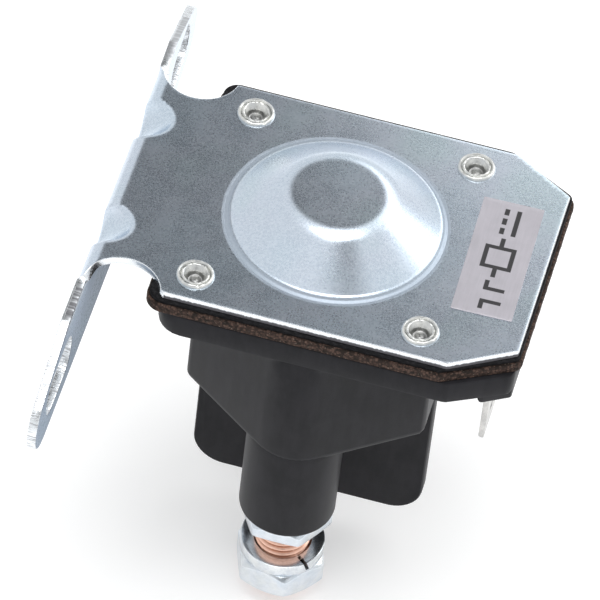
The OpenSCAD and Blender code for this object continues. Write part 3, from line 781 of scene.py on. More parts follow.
@dataclass(frozen=True)
class CopperThread:
    """Bright pinkish copper with painted shade darkening the thread roots, about one stud's axis."""

    name: str
    axis_y: float
    crest: Colour = (1.0, 0.64, 0.5)
    # Painted shade colour of the thread roots.
    root: Colour = (0.36, 0.13, 0.065)
    scuffed: Colour = (0.98, 0.76, 0.64)

    def make(self) -> Material:
        """Colour by distance from the axis, which paints shade into the thread roots, with scuffed crests.

        Returns:
            The material.
        """
        b = Brush(self.name)
        scuff = b.noise(0.35, 3, 0.6, (1, 1, 0.5))
        # How far out on the thread a point lies; the roots get painted shade.
        height = b.radius(COIL_X, self.axis_y).band(3.4, 3.9)
        base = b.mix(height * 0.8 + scuff * 0.25, self.root, self.crest)
        return b.finish(Base_Color=b.mix(scuff.band(0.56, 0.74) * 0.4, base, self.scuffed), Metallic=1.0,
                        Roughness=0.36 - height * 0.12 + scuff * 0.1, Normal=b.relief(scuff, 0.01))


@dataclass(frozen=True)
class Moulded:
    """Black phenolic moulding with a faint grain and flow marks."""

    dark: Colour = (0.0125, 0.0125, 0.0145)
    pale: Colour = (0.0215, 0.021, 0.0245)
    dust: Colour = (0.07, 0.066, 0.062)

    def make(self) -> Material:
        """Near-black with a cloudy sheen, fine pitting and a few specks of dust.

        Returns:
            The material.
        """
        b = Brush("black_moulding")
        cloud = b.noise(6, 4, 0.6)
        grain = b.noise(0.18, 3, 0.65)
        flow = b.noise(1.6, 3, 0.6, (1, 1, 0.25))
        specks = b.cells(0.9)[0].band(0.07, 0.02)
        colour = b.mix((cloud * 0.6 + flow * 0.4).band(0.35, 0.65), self.dark, self.pale)
        return b.finish(Base_Color=b.mix(specks * 0.3, colour, self.dust), Specular_IOR_Level=0.14,
                        Roughness=0.34 + cloud * 0.14 + grain * 0.06,
                        Normal=b.relief(grain * 0.7 + flow * 0.3, 0.012))


@dataclass(frozen=True)
class Rubber:
    """Matt black sheet rubber with a knife-cut edge."""

    dark: Colour = (0.004, 0.004, 0.005)
    pale: Colour = (0.02, 0.0195, 0.022)

    def make(self) -> Material:
        """Matt black with streaks along the cut.

        Returns:
            The material.
        """
        b = Brush("sheet_rubber")
        streak = b.noise(0.7, 3, 0.65, (1, 1, 2.2))
        colour = b.mix(streak.band(0.42, 0.68), self.dark, self.pale)
        return b.finish(Base_Color=colour, Specular_IOR_Level=0.15, Roughness=0.62 + streak * 0.16,
                        Normal=b.relief(streak, 0.03))


@dataclass(frozen=True)
class Cork:
    """Pressed cork and rubber: brown grains in a dark binder."""

    binder: Colour = (0.02, 0.014, 0.011)
    grain: Colour = (0.066, 0.04, 0.032)
    light: Colour = (0.12, 0.074, 0.058)
    chip: Colour = (0.3, 0.25, 0.21)

    def make(self) -> Material:
        """Cells of differing browns with dark joints and a crumbly surface.

        Returns:
            The material.
        """
        b = Brush("pressed_cork")
        near, tone = b.cells(0.36)
        pick = Tone(b, b.node("ShaderNodeSeparateColor", {}, {0: tone}).outputs[0])
        crumb = b.noise(0.16, 3, 0.7)
        colour = b.ramp(pick * 0.75 + crumb * 0.3, (0.24, self.binder), (0.5, self.grain), (0.9, self.light))
        chips = b.noise(0.3, 2, 0.5).band(0.66, 0.74)
        colour = b.mix(chips * 0.6, b.mix(near.band(0.4, 0.7) * 0.7, colour, self.binder), self.chip)
        return b.finish(Base_Color=colour, Roughness=0.8 + crumb * 0.12, Specular_IOR_Level=0.25,
                        Normal=b.relief(crumb * 0.6 - near * 0.7, 0.1))


class Mark(Enum):
    """Signs printed on the rating foil, as boxes (x, y, half length, half width) from its middle.

    The foil's x runs across the short side and y along the long one.
    """

    STEADY_CURRENT = ((1.1, 7.1, 0.34, 2.5), (-0.6, 5.25, 0.34, 0.6), (-0.6, 7.1, 0.34, 0.6),
                      (-0.6, 8.95, 0.34, 0.6))
    COIL = ((1.9, 0.1, 0.33, 2.2), (-1.9, 0.1, 0.33, 2.2), (0.0, 1.97, 2.2, 0.33), (0.0, -1.77, 2.2, 0.33),
            (0.0, 3.0, 0.33, 0.9), (0.0, -2.8, 0.33, 0.9))
    CONTACT = ((-0.5, -5.3, 0.33, 0.9), (-0.5, -9.0, 0.33, 0.9), (0.7, -5.95, 1.5, 0.33),
               (0.7, -8.35, 1.5, 0.33))


@dataclass(frozen=True)
class Foil:
    """Lilac-grey metallised label with printed electrical signs.

    Attributes:
        middle: the label's middle.
        skew: its turn, in radians.
        paper, shade: the foil's bright and dull colour.
        ink: colour of the print.
        soft: half width of the print's soft edge.
    """

    middle: Spot
    skew: float
    paper: Colour = (0.47, 0.45, 0.49)
    shade: Colour = (0.47 * 0.86, 0.45 * 0.86, 0.49 * 0.86)
    ink: Colour = (0.012, 0.011, 0.013)
    soft: float = 0.03

    def make(self) -> Material:
        """Brushed foil with ink where any of the signs' boxes lies.

        Returns:
            The material.
        """
        b = Brush("rating_foil")
        x, y, _ = b.axes()
        dx, dy = x - self.middle[0], y - self.middle[1]
        c, s = math.cos(self.skew), math.sin(self.skew)
        u, v = dx * c + dy * s, dy * c - dx * s
        ink: Tone | None = None
        for mx, my, *half in (box for mark in Mark for box in mark.value):
            sides = [(way - middle).math("ABSOLUTE").band(size + self.soft, size - self.soft)
                     for way, middle, size in zip((u, v), (mx, my), half)]
            box = sides[0].both(sides[1])
            ink = box if ink is None else ink.either(box)
        brushed = b.noise(0.2, 3, 0.6, (1, 0.06, 1))
        cloud = b.noise(4, 3, 0.6)
        paper = b.mix((brushed * 0.4 + cloud * 0.6).band(0.3, 0.7), self.shade, self.paper)
        return b.finish(Base_Color=b.mix(ink * 0.98, paper, self.ink), Metallic=(1 - ink) * 0.3,
                        Roughness=0.36 + brushed * 0.1 + ink * 0.2,
                        Normal=b.relief(cloud + brushed * 0.2, 0.03))


@dataclass(frozen=True)
class Plain:
    """Finish of a hidden or small piece: two mottled colours with grain.

    Attributes:
        name: name of the finish.
        first, second: the two colours.
        rough: roughness.
        metallic: 1 for bare metal.
        size: size of the mottling in millimetres.
        stretch: how the mottling is drawn out.
    """

    name: str
    first: Colour
    second: Colour
    rough: float
    metallic: float = 0.0
    size: float = 0.8
    stretch: Vector = (1, 1, 1)

    def make(self) -> Material:
        """Mottled colour, roughness and bump from one noise.

        Returns:
            The material.
        """
        b = Brush(self.name)
        tone = b.noise(self.size, 4, 0.6, self.stretch)
        return b.finish(Base_Color=b.mix(tone.band(0.35, 0.65), self.first, self.second),
                        Metallic=self.metallic, Roughness=self.rough + tone * 0.12,
                        Normal=b.relief(tone, 0.02))


# Sub-assemblies


@dataclass
class Bracket:
    """Stamped and bent mounting bracket with its pressed dome.

    Attributes:
        root, shoulder: half width of the bend, and where an ear begins.
        notch_in, notch_out: how far inwards of its centre the ends of a relief notch lie.
        bent_from, bent_over, bent: where the far ear's bend starts, how far it runs, and its way.
        dome_low, dome_high: radii of the dome's rounded foot and shoulder.
    """

    plate_half: float = 20.8
    reach: float = 61.4
    cut_x: float = 8.8
    cut_y: float = 5.5
    bend_out: float = 2.3
    root: float = 20.6
    notch_x: float = 6.2
    notch_y: float = 22.0
    notch_r: float = 5.6
    notch_in: float = 1.2
    notch_out: float = 1.4
    shoulder: float = 28.4
    ear_top: float = -0.75
    ear_foot: float = -13.6
    tip_y: float = 39.2
    tip_r: float = 4.4
    slot_y: float = 32.2
    slot_length: float = 12.6
    slot_width: float = 6.6
    rivet_hole: float = 2.1
    gusset_at: float = 10.6
    gusset_r: float = 4.0
    gusset_reach: float = 4.9
    gusset_soft: float = 0.7
    bent_from: float = 22.0
    bent_over: float = 24.0
    bent: Vector = (0.45 * 1.15, 1.15, 0.25 * 1.15)
    dome_hole: float = 15.5
    dome_top: float = 6.9
    dome_h: float = 5.7
    dome_low: float = 0.9
    dome_high: float = 4.6
    step: float = 0.42
    edge: float = 0.16

    @property
    def joint(self) -> float:
        """Run along the sheet at which the bend ends and the flange begins."""
        return self.bend_out * (1 - math.pi / 2)

    def run(self, height: float) -> float:
        """Run along the sheet of a plate height on the flat flange."""
        return height + self.bend_out + self.joint

    def side(self, sign: int) -> Array:
        """Outline of one side in the flat pattern, from the plate's far corner to the ear's foot.

        Args:
            sign: 1 for the far side, -1 for the near one.
        Returns:
            Points, n by 2.
        """
        c = DOME_Y
        first, last = (math.degrees(math.asin(s / self.notch_r)) for s in (self.notch_in, self.notch_out))
        centre = (self.notch_x, c + sign * self.notch_y)
        notch = arc(*centre, self.notch_r, -sign * first, -sign * (180 - last), 26)
        edge = self.run(self.ear_top)
        tip = np.array([self.run(self.ear_foot) + self.tip_r, sign * self.tip_y])
        start = np.array([edge, sign * self.shoulder])
        away = tip - start
        turn = math.atan2(away[1] * sign, away[0]) - math.asin(self.tip_r / np.linalg.norm(away))
        end = arc(tip[0], tip[1], self.tip_r, sign * (math.degrees(turn) - 90), sign * 180, 24)
        corner = [[self.reach, c + sign * (self.plate_half - self.cut_y)],
                  [self.reach - self.cut_x, c + sign * self.plate_half]]
        ease = [[edge + 0.14, c + sign * (self.root + 0.3)], [edge, c + sign * (self.root + 1.0)]]
        return np.concatenate([corner, notch, ease, [start], end])

    def outline(self) -> Array:
        """Whole outline of the flat pattern, as (run along the sheet, y)."""
        return np.concatenate([self.side(1), self.side(-1)[::-1]])

    def place(self, p: Array, depth: Array) -> Array:
        """Bends the flat pattern: straight plate, quarter circle, straight flange, with two pressed gussets.

        A gusset is the bend pushed in until it meets a round bar that crosses it at 45 degrees.

        Args:
            p: points of the flat pattern, n by 2.
            depth: how deep each lies under the sheet's upper face.
        Returns:
            Points in space, n by 3.
        """
        s, y = p[:, 0], p[:, 1]
        big = self.bend_out
        turn = np.clip((big - s) / big, 0, math.pi / 2)
        x = np.where(s > big, s, big - big * np.sin(turn))
        z = np.where(s > big, 0.0, big * np.cos(turn) - big) + np.minimum(0, s - self.joint)
        nx, nz = -np.sin(turn), np.cos(turn)
        flat = smoothstep((np.abs(y - DOME_Y) - self.root) / 1.2) * (s < big)
        x, z = x * (1 - flat), z * (1 - flat) + (s - self.joint - big) * flat
        nx, nz = nx * (1 - flat) - flat, nz * (1 - flat)
        size = np.hypot(nx, nz)
        x, z = x - nx / size * depth, z - nz / size * depth
        out = (z - x) / math.sqrt(2)
        axis = self.gusset_r - self.gusset_reach / math.sqrt(2)
        soft = self.gusset_soft
        for sign in (-1, 1):
            across = y - DOME_Y - sign * self.gusset_at
            limit = axis - np.sqrt(np.maximum((self.gusset_r + depth) ** 2 - across**2, 0))
            h = np.clip(0.5 + 0.5 * (out - limit) / soft, 0, 1)
            move = (limit - out) * h - soft * h * (1 - h) * 0.5
            move = np.where(np.abs(across) < self.gusset_r + depth, np.minimum(move, 0), 0)
            x, z = x - move / math.sqrt(2), z + move / math.sqrt(2)
            out = out + move
        bend = smoothstep((y - self.bent_from) / self.bent_over)
        return np.stack([x, y, z], 1) - bend[:, None] * np.array(self.bent)

    def dome_profile(self) -> list[Spot]:
        """Section of the dome's skin from its foot inwards: groove, step, soft foot, cone, shoulder, top.

        The cone is tangent to the round foot and the round shoulder, and its slope makes the height come out.

        Returns:
            (radius, height) pairs.
        """
        foot = [(15.98, 0.0), (15.8, -0.06), (15.68, -0.05), (15.56, 0.04), (15.4, 0.09), (15.22, 0.14),
                (15.08, 0.25), (14.98, 0.37)]
        start, step_h, flat = 14.95, 0.4, self.dome_top - 0.9
        low, high = self.dome_low, self.dome_high
        slopes = np.radians(np.linspace(20, 60, 4001))
        cone = start - flat - (low + high) * np.sin(slopes)
        height = (low + high) * (1 - np.cos(slopes)) + cone * np.tan(slopes)
        t = np.linspace(0, float(slopes[np.argmin(np.abs(height - (self.dome_h - step_h)))]), 12)
        foot_arc = np.stack([start - low * np.sin(t), step_h + low * (1 - np.cos(t))], 1)
        top_arc = np.stack([flat + high * np.sin(t), self.dome_h - high * (1 - np.cos(t))], 1)[::-1]
        straight = foot_arc[-1] + (top_arc[0] - foot_arc[-1]) * np.linspace(0, 1, 12)[1:-1, None]
        top = [(r, self.dome_h + 0.02 * (1 - (r / flat) ** 2)) for r in np.linspace(flat - 0.5, 0.02, 12)]
        return foot + np.concatenate([foot_arc, straight, top_arc]).tolist() + top

    def build(self) -> None:
        """Makes the bracket as one piece."""
        shell = Shell()
        slot_x = self.run(-TOP)
        slots = [stadium(slot_x, sign * self.slot_y, self.slot_length, self.slot_width) for sign in (-1, 1)]
        rivets = [circle(x, y, self.rivet_hole, 32) for x, y in RIVETS]
        hole = circle(DOME_X, DOME_Y, self.dome_hole, 160)
        sheet = Stamping(self.outline(), (*slots, *rivets, hole), SHEET_T, self.step, self.edge)
        sheet.into(shell, self.place)
        skin = self.dome_profile()
        section = skin[::-1] + [(r, z - SHEET_T + 0.02) for r, z in skin]
        shell.surface(revolve(section, (DOME_X, DOME_Y), 160), caps=True)
        shell.piece("bracket_sheet", "mounting_bracket", ZincSheet().make(), "zinc_steel", 28)


@dataclass
class Rivets:
    """Four semi-tubular rivets with rolled lips.

    Attributes:
        columns: points round each rivet.
        lip: height at which a lip is fully uneven.
        rim: radius from which it is nicked.
        waves: height, number and shift of the waves round a lip.
    """

    columns: int = 72
    lip: float = 0.4
    rim: float = 2.2
    waves: tuple[Vector, ...] = ((0.035, 3, 1.7), (0.025, 7, 2.9), (0.02, 13, 1))

    def build(self) -> None:
        """Makes the rivets, each turned and bruised a little differently."""
        section = [
            (0.0, -0.92), (0.3, -0.95), (0.42, -1.0), (0.8, -1.0), (0.98, -0.95), (1.06, -0.8), (1.1, -0.45),
            (1.2, -0.25), (1.4, -0.05), (1.56, 0.16), (1.66, 0.32), (1.76, 0.4), (1.88, 0.4), (1.97, 0.32),
            (2.03, 0.18), (2.07, 0.06), (2.11, 0.06), (2.16, 0.2), (2.24, 0.36), (2.36, 0.45), (2.48, 0.43),
            (2.59, 0.32), (2.66, 0.15), (2.68, 0.0), (2.6, -0.02), (2.05, -0.02), (2.05, Z_FLANGE),
            (3.1, Z_FLANGE), (3.2, -7.8), (3.2, -8.3), (3.05, -8.52), (2.8, -8.6), (0.0, -8.6),
        ]
        shell = Shell()
        r, z = np.hsplit(np.array(section), 2)
        angle = steps(self.columns)
        for k, centre in enumerate(RIVETS):
            wave = sum(height * np.sin(count * angle + k * shift) for height, count, shift in self.waves)
            nick = -0.3 * np.exp(-(((angle - 5.1 - k * 0.35) / 0.07) ** 2)) * (r > self.rim)
            grid = revolve(section, centre, self.columns)
            grid[..., 2] += np.clip(z / self.lip, 0, 1) * (wave + nick)
            shell.surface(grid)
        # hollow paints shade into the rivets below the plate's face.
        finish = Plated("rivet_plating", (0.82, 0.82, 0.79), (0.58, 0.59, 0.59), 0.22, hollow=0.55)
        shell.piece("rolled_rivets", "plate_rivets", finish.make(), "rivet_steel", 40)


@dataclass
class RatingFoil:
    """Thin label stuck on the plate.

    Attributes:
        reach, margin: the plate's far edge, seen from the dome, and how far the label lies inside it.
        shift: how far the label's middle lies beside the dome's.
        corner: radius of its corners.
        swell, bend: height of its waves, and their angle for each millimetre.
    """

    length: float = 22.0
    width: float = 8.7
    thickness: float = 0.12
    skew: float = math.radians(1.3)
    reach: float = 30.0
    margin: float = 2.5
    shift: float = 0.4
    corner: float = 0.12
    swell: float = 0.012
    bend: float = 0.9

    def build(self) -> None:
        """Makes the label as a foil with small waves, rounded corners and a thin wall."""
        middle = (DOME_X + self.reach - self.margin - self.width / 2, DOME_Y + self.shift)
        half_x, half_y, r, t = self.width / 2, self.length / 2, self.corner, self.thickness
        corners = [(a * (half_x - r), half_y - r, r) for a in (-1, 1)]
        rim = Trace.hull(mirrored(0, 0, *corners), 0.5)
        c, s = math.cos(self.skew), math.sin(self.skew)
        rows = []
        for offset, level in ((0, 0.0), (0, 0.08), (-0.04, t), *((k, t) for k in (-0.3, -1, -2, -3, -4.2))):
            x, y = rim.points.T * max(0.0, 1 + offset / half_x)
            lift = self.swell * np.sin(y * self.bend) * min(level / t, 1)
            rows.append(np.stack([middle[0] + x * c - y * s, middle[1] + x * s + y * c, level + lift], 1))
        finish = Foil(middle, self.skew).make()
        Shell().surface(np.stack(rows), caps=True).piece("rating_foil", "rating_label", finish, "label_foil")


@dataclass(frozen=True)
class Gasket:
    """Gasket between the plate and the housing.

    Attributes:
        top, foot: plate heights of its faces.
        inset: how far the outline lies inside the cork's.
        ruffle: how uneven its cut edge is.
        corners: offsets and radius of the outline's corners.
    """

    name: str
    node: str
    slot: str
    top: float
    foot: float
    inset: float
    opening: float
    ruffle: float
    corners: tuple[Circle, ...] = ((-19.4, 19.4, 2.6), (20.0, 20.5, 1.5), (29.2, 15.3, 1.5))
    step: float = 0.5

    def build(self, finish: Material) -> None:
        """Makes the gasket as a band whose section runs over its outer edge, top, opening and foot.

        Args:
            finish: its material.
        """
        rim = Trace.hull(mirrored(DOME_X, BASE_Y, *self.corners), self.step)
        run = np.arange(len(rim.points)) * self.step
        waves = np.sin(run * 1.9) + np.sin(run * 4.3 + 1) * 0.8 + np.sin(run * 9.1 + 2) * 0.6
        edge = ((-0.12, 0.0), (-0.02, 0.06), (0, 0.2), (0, 0.45), (0, 0.7), (-0.02, 0.9), (-0.12, 1.0))
        rows = []
        for out, share in edge:
            swell = (1 + 0.5 * math.sin(share * 9)) * math.sin(math.pi * min(max(share, 0.08), 0.92))
            offset = out - self.inset - self.ruffle + self.ruffle * waves / 2.4 * swell
            rows.append(rim.ring(offset, self.foot + (self.top - self.foot) * share))
        rows += [rim.opening(COIL_AXIS, self.opening, z) for z in (self.top, self.foot)]
        Shell().surface(np.stack([*rows, rows[0]])).piece(self.name, self.node, finish, self.slot, 50)


@dataclass
class Housing:
    """Black moulded housing with its posts, barrier and blade bosses.

    Attributes:
        bore, recess: radii of the coil's bore and of the return spring's recess.
        pocket_r, pocket_half: the contact bar's pocket, a slot with round ends.
        post_r, stud_r: outer radius of a post and radius of its hole.
        front, draft: how far the body's front face lies from the middle, and its slope.
    """

    bore: float = 15.0
    pocket_r: float = 6.2
    pocket_half: float = 14.3
    recess: float = 3.9
    post_r: float = 6.9
    stud_r: float = 4.02
    barrier_half: float = 1.5
    front: float = 21.85
    draft: float = 0.16

    def flange(self, shell: Shell) -> None:
        """Flange slab with eased edges and its bore.

        Args:
            shell: where it goes.
        """
        rim = Trace.hull(mirrored(DOME_X, BASE_Y, (-16.3, 18, 4), (21.2, 20.5, 1.5), (28.5, 16.5, 1.5)), 1.0)
        outer = rim.loft([(-0.3, Z_CASE), (-0.1, Z_CASE - 0.04), (0, Z_CASE - 0.22), (0, Z_FLANGE + 0.5),
                          (-0.06, Z_FLANGE + 0.22), (-0.24, Z_FLANGE + 0.05), (-0.5, Z_FLANGE)])
        inner = [rim.opening(COIL_AXIS, self.bore, z) for z in (Z_FLANGE, Z_CASE)]
        shell.surface(np.stack([*outer, *inner, outer[0]]))

    def body(self, shell: Shell) -> None:
        """Body drawn round both posts, hollow for the coil, the contact bar and the return spring's foot.

        Args:
            shell: where it goes.
        """
        corners = ((0, POST_HALF, self.post_r), (-16.15, 10.1, 1.2), (16.15, 10.1, 1.2))
        rim = Trace.hull(mirrored(COIL_X, DOME_Y, *corners), 0.9)
        grid = rim.loft([
            (0.16, Z_FLANGE + 0.1), (0.07, Z_FLANGE - 0.12), (0.02, Z_FLANGE - 0.3), (0, Z_FLANGE - 0.6),
            (0, Z_FLANGE - 1.3), (0, Z_FLANGE - 2.2), (0, -11.0), (0, -17.0), (0, -25.9), (-0.08, -26.5),
            (-0.3, -26.95), (-0.65, -27.15), (-1.0, Z_SKIRT)])
        front = BASE_Y - self.front - self.draft * np.maximum(0, Z_FLANGE - grid[..., 2])
        grid[..., 1] = np.maximum(grid[..., 1], front)
        hollow = [
            rim.opening(COIL_AXIS, r, z, half)
            for r, half, levels in ((self.recess, 0, (Z_FLOOR - 1, Z_FLOOR)),
                                    (self.pocket_r, self.pocket_half, (Z_FLOOR, Z_LEDGE)),
                                    (self.bore, 0, (Z_LEDGE, Z_FLANGE + 0.1)))
            for z in levels]
        shell.surface(np.stack([*hollow, *grid]), caps=True)

    def post(self, shell: Shell, y: float) -> None:
        """Terminal post with a rounded end, open round the stud.

        Args:
            shell: where it goes.
            y: place of its axis.
        """
        r, hole = self.post_r, self.stud_r
        section = [(hole, -25.4), (r - 0.2, -25.4), (6.88, -27.0), (r, -27.6), (r, -42.6), (6.86, -42.79),
                   (6.75, -42.95), (6.59, -43.06), (r - 0.5, Z_POST), (4.3, Z_POST), (4.1, -43.0),
                   (hole, -42.8), (hole, -25.4)]
        shell.surface(revolve(section, (COIL_X, y), 96))

    def barrier(self, shell: Shell) -> None:
        """Barrier between the terminals: an upright slab with round corners and eased edges.

        Args:
            shell: where it goes.
        """
        corners = ((12.25, -49.7, 4.8), (16.45, -26.8, 0.6))
        rim = Trace.hull([(COIL_X + sign * dx, z, r) for dx, z, r in corners for sign in (-1, 1)], 0.8)
        eased = [(-0.55, self.barrier_half), (-0.22, 1.42), (-0.05, 1.2), (0, 0.9)]
        grid = rim.loft([(offset, -depth) for offset, depth in eased] + eased[::-1])
        shell.surface(np.stack([grid[..., 0], DOME_Y + grid[..., 2], grid[..., 1]], -1), caps=True)

    def bosses(self, shell: Shell) -> None:
        """Low bosses round the blades, trimmed to the flange's corners.

        Args:
            shell: where they go.
        """
        front = ((26.0, -8.4), (29.6, -8.4), (29.6, -14.6), (26.2, -16.7), (26.0, -16.7))
        rear = ((26.0, 10.4), (29.6, 10.4), (29.6, 18.1), (27.9, 19.1), (26.0, 19.1))
        for corners in (front, rear):
            rim = Trace.hull([(DOME_X + dx, y, 0.38) for dx, y in corners], 0.5)
            levels = [(0, Z_FLANGE + 0.4), (0, Z_BOSS + 0.3), (-0.08, Z_BOSS + 0.1), (-0.28, Z_BOSS)]
            shell.surface(rim.loft(levels), caps=True)

    def build(self) -> None:
        """Makes the housing as one piece of closed forms that run into each other."""
        shell = Shell()
        self.flange(shell)
        self.body(shell)
        for y in STUD_Y:
            self.post(shell, y)
        self.barrier(shell)
        self.bosses(shell)
        shell.piece("moulded_housing", "housing", Moulded().make(), "black_moulding", 34)


@dataclass
class Terminal:
    """One threaded stud with its nuts and lock washer.

    Attributes:
        base_turn, outer_turn, split_turn: turns of the two nuts and of the washer's cut, in degrees.
        pitch, r, depth, gap: pitch, crest radius and depth of the thread, and the clearance round it.
        flats, slant: width of the nuts across their flats, and angle of their chamfer in degrees.
        end_r, runout: radius of the stud's end, and length over which its thread starts.
        cut, lean: half the width of the washer's cut, and its angle in degrees.
    """

    side: Side
    base_turn: float
    outer_turn: float
    split_turn: float
    pitch: float = 1.058
    r: float = 3.97
    depth: float = 0.64
    gap: float = 0.06
    columns: int = 72
    flats: float = 12.0
    slant: float = 35.0
    outer_h: float = 4.4
    base_h: float = 2.4
    washer_r: float = 6.1
    washer_h: float = 2.0
    cut: float = 0.28
    lean: float = 20.0
    end_r: float = 3.1
    runout: float = 1.2

    @property
    def axis(self) -> Spot:
        """Place of the stud's axis."""
        return COIL_X, STUD_Y[self.side.value]

    def thread(self, z: Array, angle: Array, grow: float = 0.0) -> Array:
        """Radius of a right-hand thread: crest radius less depth, by how far the helix is away.

        Args:
            z: plate height of each row.
            angle: turn of each column.
            grow: added to the radius.
        Returns:
            Radius of each point.
        """
        phase = (z[:, None] / self.pitch - angle[None, :] / TAU) % 1
        root = np.clip((np.abs(2 * phase - 1) - 0.14) / 0.78, 0, 1)
        return self.r + grow - self.depth * root

    def stud(self) -> None:
        """Makes the stud: contact head, plain shank in the post, thread, and a chamfered end."""
        word, angle = self.side.word, steps(self.columns)
        z = np.append(np.arange(Z_THREAD, Z_STUD, -self.pitch / 12), Z_STUD)
        end = np.clip(self.end_r + (z - Z_STUD) * 1.2, 0, self.r)[:, None]
        start = self.r - 0.58 * smoothstep((Z_THREAD - z) / self.runout)[:, None]
        r = np.maximum(np.minimum(self.thread(z, angle), end), np.minimum(start, end))
        head = [(0.0, Z_HEAD), (5.1, Z_HEAD), (5.4, Z_HEAD - 0.25), (5.4, Z_FLOOR + 0.25), (5.1, Z_FLOOR),
                (self.r, Z_FLOOR), (self.r, Z_THREAD + 0.1)]
        grid = np.concatenate([
            revolve(head, self.axis, self.columns), around(self.axis, r, angle, z[:, None]),
            revolve([(2.2, Z_STUD), (0.0, Z_STUD + 0.08)], self.axis, self.columns)])
        finish = CopperThread(f"{word}_copper", self.axis[1]).make()
        Shell().surface(grid).piece(f"{word}_threaded_stud", f"{word}_stud", finish, "copper", 60)

    def nut(self, shell: Shell, top: float, height: float, turn: float, under: float = 1.0) -> Shell:
        """Hexagon nut with chamfered corners and a threaded bore.

        The outside at each angle is a flat's distance over the cosine of the angle from its middle,
        cut off by a cone. Its rows are pairs of radius and depth below the upper face.

        Args:
            shell: where it goes.
            top, height: plate height of its upper face, and its height.
            turn: turn about its axis in degrees.
            under: share of the chamfer that its lower face has.
        Returns:
            The shell.
        """
        flat = self.flats / 2
        sixth = np.linspace(-30, 30, 15)[:-1]
        angle = np.radians(np.concatenate([turn + 30 + 60 * k + sixth for k in range(6)]))
        away = np.tile(np.radians(sixth), 6)
        hexagon = np.minimum(flat / np.cos(away), flat / math.cos(math.radians(30)) - 0.12)
        face = flat * 0.965
        drop = (hexagon - face) * math.tan(math.radians(self.slant))
        upper = [(face - 0.25, 0.0), (face, 0.03), (hexagon - 0.1, drop - 0.02), (hexagon - 0.02, drop + 0.1),
                 (hexagon, drop + 0.3)]
        lower = [(r, height - d * under) for r, d in upper[::-1]]
        bore = [(self.thread(np.array([top - d]), angle, self.gap)[0], d)
                for d in np.arange(height - 0.35, 0.35, -self.pitch / 10)]
        rows = [*upper, *lower, (4.45, height), (4.3, height - 0.1), *bore, (4.3, 0.1), (4.45, 0.0), upper[0]]
        return shell.surface(np.stack([around(self.axis, r, angle, top - d) for r, d in rows]))

    def washer(self) -> Array:
        """Split ring: a rounded section swept round the stud from one side of the cut to the other.

        The cut leans, so each point's end angle shifts with its depth.

        Returns:
            Points, sweep by section by 3.
        """
        inner, outer, high, e = self.r + self.gap, self.washer_r, self.washer_h, 0.22
        r, d = np.array([
            (inner, e), (inner + e, 0), (outer - e, 0), (outer - 0.06, 0.08), (outer, e), (outer, high - e),
            (outer - 0.06, high - 0.08), (outer - e, high), (inner + e, high), (inner, high - e)]).T
        lean = (d - high / 2) * math.tan(math.radians(self.lean)) / r
        start, end = (math.radians(self.split_turn) + lean + k for k in (self.cut / r, TAU - self.cut / r))
        sweep = np.linspace(0, 1, 97)[:, None]
        return around(self.axis, r, start * (1 - sweep) + end * sweep, Z_WASHER - d)

    def build(self, hardware: Material, spring: Material, base: Shell) -> None:
        """Makes the stud, the lock washer and the outer nut, and adds the base nut to both nuts' piece.

        Args:
            hardware: material of the nut.
            spring: material of the washer.
            base: shell of the base nuts.
        """
        word = self.side.word
        self.stud()
        ring = Shell().surface(self.washer(), caps=True)
        ring.piece(f"{word}_split_washer", f"{word}_lock_washer", spring, "nut_steel", 30, f"{word}_washer")
        nut = self.nut(Shell(), Z_OUTER_NUT, self.outer_h, self.outer_turn)
        nut.piece(f"{word}_hexagon_nut", f"{word}_outer_nut", hardware, "nut_steel", 30, f"{word}_nut")
        self.nut(base, Z_POST, self.base_h, self.base_turn, 0.2)


@dataclass
class Blade:
    """Push-on blade with a locking hole, and its foot inside the flange."""

    side: Side
    width: float = 6.35
    thickness: float = 0.8
    tip: float = -18.7
    root: float = -5.0
    hole_r: float = 0.9
    hole_up: float = 4.8
    foot: float = 3.8
    out: float = 13.6
    ahead: float = 26.2

    def build(self, finish: Material) -> None:
        """Makes one blade: stamped sheet, thinned towards its tip.

        Args:
            finish: its material.
        """
        half, tip, root = self.width / 2, self.tip, self.root
        y = DOME_Y + (self.out if self.side is Side.REAR else -self.out)
        x = COIL_X + self.ahead - self.thickness / 2
        ring = np.array([(-half + 1.1, tip), (half - 1.1, tip), (half - 0.75, tip + 0.15), (half, tip + 1.1),
                         (half, root), (-half, root), (-half, tip + 1.1), (-half + 0.75, tip + 0.15)])
        hole = circle(0, tip + self.hole_up, self.hole_r, 40)

        def stand(p: Array, depth: Array) -> Array:
            """Stands the blade upright and thins its tip to two fifths.

            Args:
                p: points of the sheet, n by 2.
                depth: how deep each lies.
            Returns:
                Points in space, n by 3.
            """
            thin = 0.4 + 0.6 * smoothstep((p[:, 1] - tip) / 1.5)
            middle = self.thickness / 2
            return np.stack([x + middle + (depth - middle) * thin, y + p[:, 0], p[:, 1]], 1)

        shell = Shell()
        Stamping(ring, (hole,), self.thickness, 0.24, 0.07).into(shell, stand)
        rim = Trace.hull(mirrored(x, y, (-self.foot, half - 0.2, 0.2), (-0.2, half - 0.2, 0.2)), 1.0)
        shell.surface(rim.loft([(-0.05, -5.8), (0, -5.75), (0, -5.05), (-0.05, -5.0)]), caps=True)
        word = self.side.word
        shell.piece(f"{word}_tab", f"{word}_blade", finish, "tinned_brass", 34)


